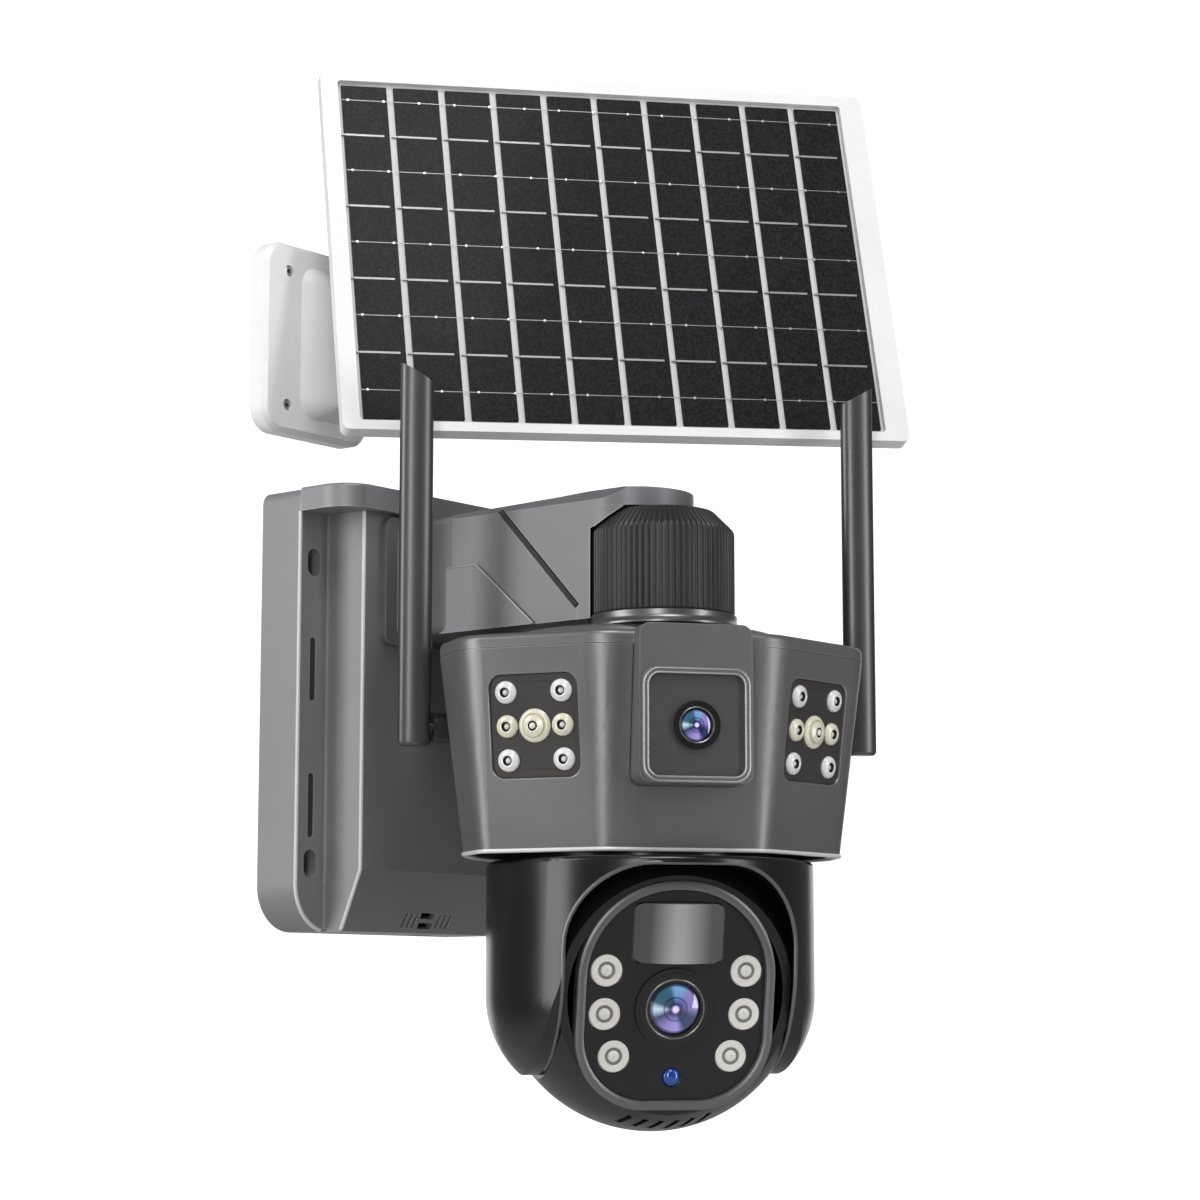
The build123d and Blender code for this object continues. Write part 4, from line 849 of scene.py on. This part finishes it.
# ---------------------------------------------------------------- painted edge highlights, and dark fills that paint shade in slits and grooves
FORWARD = Vector((0, -1, 0))
BOX_W, BOX_BOTTOM, REAR_D, BOX_CORNER = 128.0, -83.5, 21.0, 18.0
BLOCK_W, BLOCK_TOP, BLOCK_Y, SLOPE_Z, SLOPE_D = 97.0, 79.5, -40.5, -60.0, 10.0
WINDOW_W, WINDOW_H, WINDOW_Z, WINDOW_RIM, LENS_FRONT = 36.0, 37.0, -11.9, 2.2, 66.9
ARM_STEP_X, ARM_STEP = 24.2, ((-58.5, 57.5), (-77.0, 57.5), (-106.0, 32.2))


def box_edges():
    """Light beads along the front edges of the slab and of the block, on both sides: painted edge
    highlights.
    """
    lines = bmesh.new()
    sink, radius = 0.45, 0.78
    for side in (-1, 1):
        normal = Vector((side, -1, 0)).normalized()
        x, corner_x, corner_z = side * BOX_W / 2, side * (BOX_W / 2 - BOX_CORNER), BOX_BOTTOM + BOX_CORNER
        slab = [Vector((x, -REAR_D, BLOCK_TOP)), Vector((x, -REAR_D, corner_z))]
        turn_in = arc((0, corner_z), BOX_CORNER, 0, -78)[1:]
        slab += [Vector((corner_x + side * a, -REAR_D, b)) for a, b in turn_in]
        inset = Vector((-side * sink, sink, 0))
        bead(lines, [p + inset for p in slab], normal, radius, closed=False)
        x = side * BLOCK_W / 2
        block = [(BLOCK_Y, BLOCK_TOP), (BLOCK_Y, SLOPE_Z), (BLOCK_Y + SLOPE_D, BOX_BOTTOM + 0.5)]
        bead(lines, [Vector((x, y, z)) + inset for y, z in block], normal, radius, closed=False)
    finish_piece("box_edge_highlights", lines, BOX_FRAME, "painted_edge_highlight", "base")


def block_seam_highlights():
    """A lighter bead along the seam where the front case meets the slab, on both sides: a painted highlight.
    """
    seams = bmesh.new()
    for side in (-1, 1):
        x = side * (BLOCK_W / 2 + 0.15)
        points = [Vector((x, -REAR_D - 0.4, z)) for z in (BLOCK_TOP, BOX_BOTTOM + 0.5)]
        bead(seams, points, Vector((side, 0, 0)), 0.7, closed=False)
    finish_piece("block_seam_highlights", seams, BOX_FRAME, "soft_edge_highlight", "base")


def arm_edges():
    """A lighter bead along the edge of the raised step on both flanks of the arm: a painted highlight."""
    lines = bmesh.new()
    for side in (-1, 1):
        points = [Vector((side * (ARM_STEP_X - 0.15), y, z)) for y, z in ARM_STEP]
        bead(lines, points, Vector((side, 0, 0)), 0.4, closed=False)
    finish_piece("arm_edge_highlights", lines, BOX_FRAME, "soft_edge_highlight", "base")


def window_edges():
    """Lighter beads along the outer and inner edges of the rim around the fixed lens window: painted
    highlights.
    """
    lines = bmesh.new()
    for grow, back in ((WINDOW_RIM - 0.35, 0.15), (0.3, 0.15)):
        loop = rounded_loop(WINDOW_W + 2 * grow, WINDOW_H + 2 * grow, 4 + grow)
        bead(lines, [Vector((x, back - LENS_FRONT, z + WINDOW_Z)) for x, z in loop], FORWARD, 0.4)
    finish_piece("window_edge_highlights", lines, HEAD_FRAME, "soft_edge_highlight", "head")


YOKE_R, ROOF_Z, EAR_X, ARCH_R, EAR_END_Z, EAR_END_R = 62.0, -61.0, 44.0, 30.0, -93.5, 44.0


def arch_edge():
    """A grey bead around the front opening of the yoke and on down the front of both ears: a painted
    highlight on the black yoke.
    """
    bend_x, bend_z = EAR_X - ARCH_R, ROOF_Z - ARCH_R
    half = arc((-bend_x, bend_z), ARCH_R, 180, 90, 12)
    top = half + [(-x, z) for x, z in reversed(half)]
    skin = [Vector((x, -math.sqrt(YOKE_R ** 2 - x ** 2), z)) for x, z in top]
    curl = [Vector((EAR_X, -a, EAR_END_Z + b)) for a, b in arc((0, 0), EAR_END_R - 0.3, -10, -72, 12)]
    points = [Vector((-p.x, p.y, p.z)) for p in reversed(curl)] + skin + curl
    normals = [Vector((p.x * 0.4, p.y, 0)).normalized() for p in points]
    line = bmesh.new()
    bead(line, [p - n * 0.2 for p, n in zip(points, normals)], normals, 0.8, closed=False)
    finish_piece("arch_edge_highlight", line, HEAD_FRAME, "black_edge_highlight", "yoke")


SLIT_X, SLIT_ROWS, SLIT_HALF_W, SLIT_HALF_H = 56.2, (-35.0, 18.0), 1.7, 11.5


def slit_shade_fills():
    """Dark fills behind the two long slits on each side of the slab: painted shade inside the slits."""
    shade_fills = bmesh.new()
    for side in (-1, 1):
        for row in SLIT_ROWS:
            x = side * SLIT_X
            cuboid(shade_fills, (x - SLIT_HALF_W, -REAR_D + 0.6, row - SLIT_HALF_H),
                   (x + SLIT_HALF_W, -REAR_D + 4, row + SLIT_HALF_H))
    finish_piece("slit_shade_fills", shade_fills, BOX_FRAME, "rubber", "base")


GROOVE_BOTTOM_X, GROOVE_ENDS = 22.0, ((-88.6, 77.4), (-126.4, 37.6))


def arm_groove_shade_strips():
    """A dark rubber strip in the sunk line between the two castings of the arm: painted shade in the groove.
    """
    shade_strips = bmesh.new()
    for side in (-1, 1):
        points = [Vector((side * GROOVE_BOTTOM_X, y, z)) for y, z in GROOVE_ENDS]
        bead(shade_strips, points, Vector((side, 0, 0)), 0.95, closed=False)
    finish_piece("arm_groove_shade_strips", shade_strips, BOX_FRAME, "rubber", "base")


box_edges()
block_seam_highlights()
arm_edges()
window_edges()
arch_edge()
slit_shade_fills()
arm_groove_shade_strips()

# ---------------------------------------------------------------- antennas
ANT_X, ANT_Y, ANT_PIVOT_Z, ANT_W, ANT_T, ANT_TOP_Z, ANT_BELOW = 89.0, 12.0, -7.5, 13.0, 8.0, 133.0, 7.0
ANT_STEPS, ANT_SQUARENESS, TIP_DROP = 48, 0.92, 7.5


def antenna(side, word):
    """A rod of rounded, nearly oval section with a slanted tip and a rounded foot."""
    blade = bmesh.new()
    top = ANT_TOP_Z - ANT_PIVOT_Z
    levels = ((-ANT_BELOW, 0.80), (-ANT_BELOW + 0.5, 0.93), (-ANT_BELOW + 1.4, 1.0), (top, 1.0))
    rings = []
    for up, size in levels:
        ring = []
        for step in range(ANT_STEPS):
            a = 2 * math.pi * step / ANT_STEPS
            cos, sin = math.cos(a), math.sin(a)
            x = math.copysign(abs(cos) ** ANT_SQUARENESS, cos) * ANT_W / 2 * size
            y = math.copysign(abs(sin) ** ANT_SQUARENESS, sin) * ANT_T / 2 * size
            ring.append(blade.verts.new((side * ANT_X + x, ANT_Y + y, ANT_PIVOT_Z + up)))
        rings.append(ring)
    for one, two in zip(rings, rings[1:]):
        span(blade, one, two)
    blade.faces.new(rings[0])
    blade.faces.new(rings[-1])
    inner = Vector((side * (ANT_X - ANT_W / 2), ANT_Y, ANT_TOP_Z - TIP_DROP))
    slant = Vector((-side * TIP_DROP, 0, ANT_W)).normalized()
    every = blade.verts[:] + blade.edges[:] + blade.faces[:]
    cut = bmesh.ops.bisect_plane(blade, geom=every, plane_co=inner, plane_no=slant, clear_outer=True)
    rim = [e for e in cut["geom_cut"] if isinstance(e, bmesh.types.BMEdge)]
    bmesh.ops.contextual_create(blade, geom=rim)
    finish_piece(f"antenna_rod_{word}", blade, HEAD_FRAME, "antenna_black", f"antenna_{word[0]}",
                 (f"antenna_{word}",))


antenna(-1, "left")
antenna(1, "right")

# ---------------------------------------------------------------- screws
BRACKET_X, BRACKET_Z, BRACKET_FRONT, BRACKET_HOLE_X, BRACKET_HOLE_Z = -42.3, 151.5, 8.0, 17.0, 27.2
SCREW_DEPTH, SCREW_R = 1.6, 2.15


def bracket_screws():
    heads, sockets = bmesh.new(), bmesh.new()
    y = SCREW_DEPTH - BRACKET_FRONT
    for x in (BRACKET_X - BRACKET_HOLE_X, BRACKET_X + BRACKET_HOLE_X):
        for z in (BRACKET_Z - BRACKET_HOLE_Z, BRACKET_Z + BRACKET_HOLE_Z):
            screw(heads, sockets, Matrix.Translation((x, y, z)), SCREW_R)
    finish_piece("bracket_screw_heads", heads, BOX_FRAME, "steel", "base")
    finish_piece("bracket_screw_sockets", sockets, BOX_FRAME, "black_satin", "base")


bracket_screws()
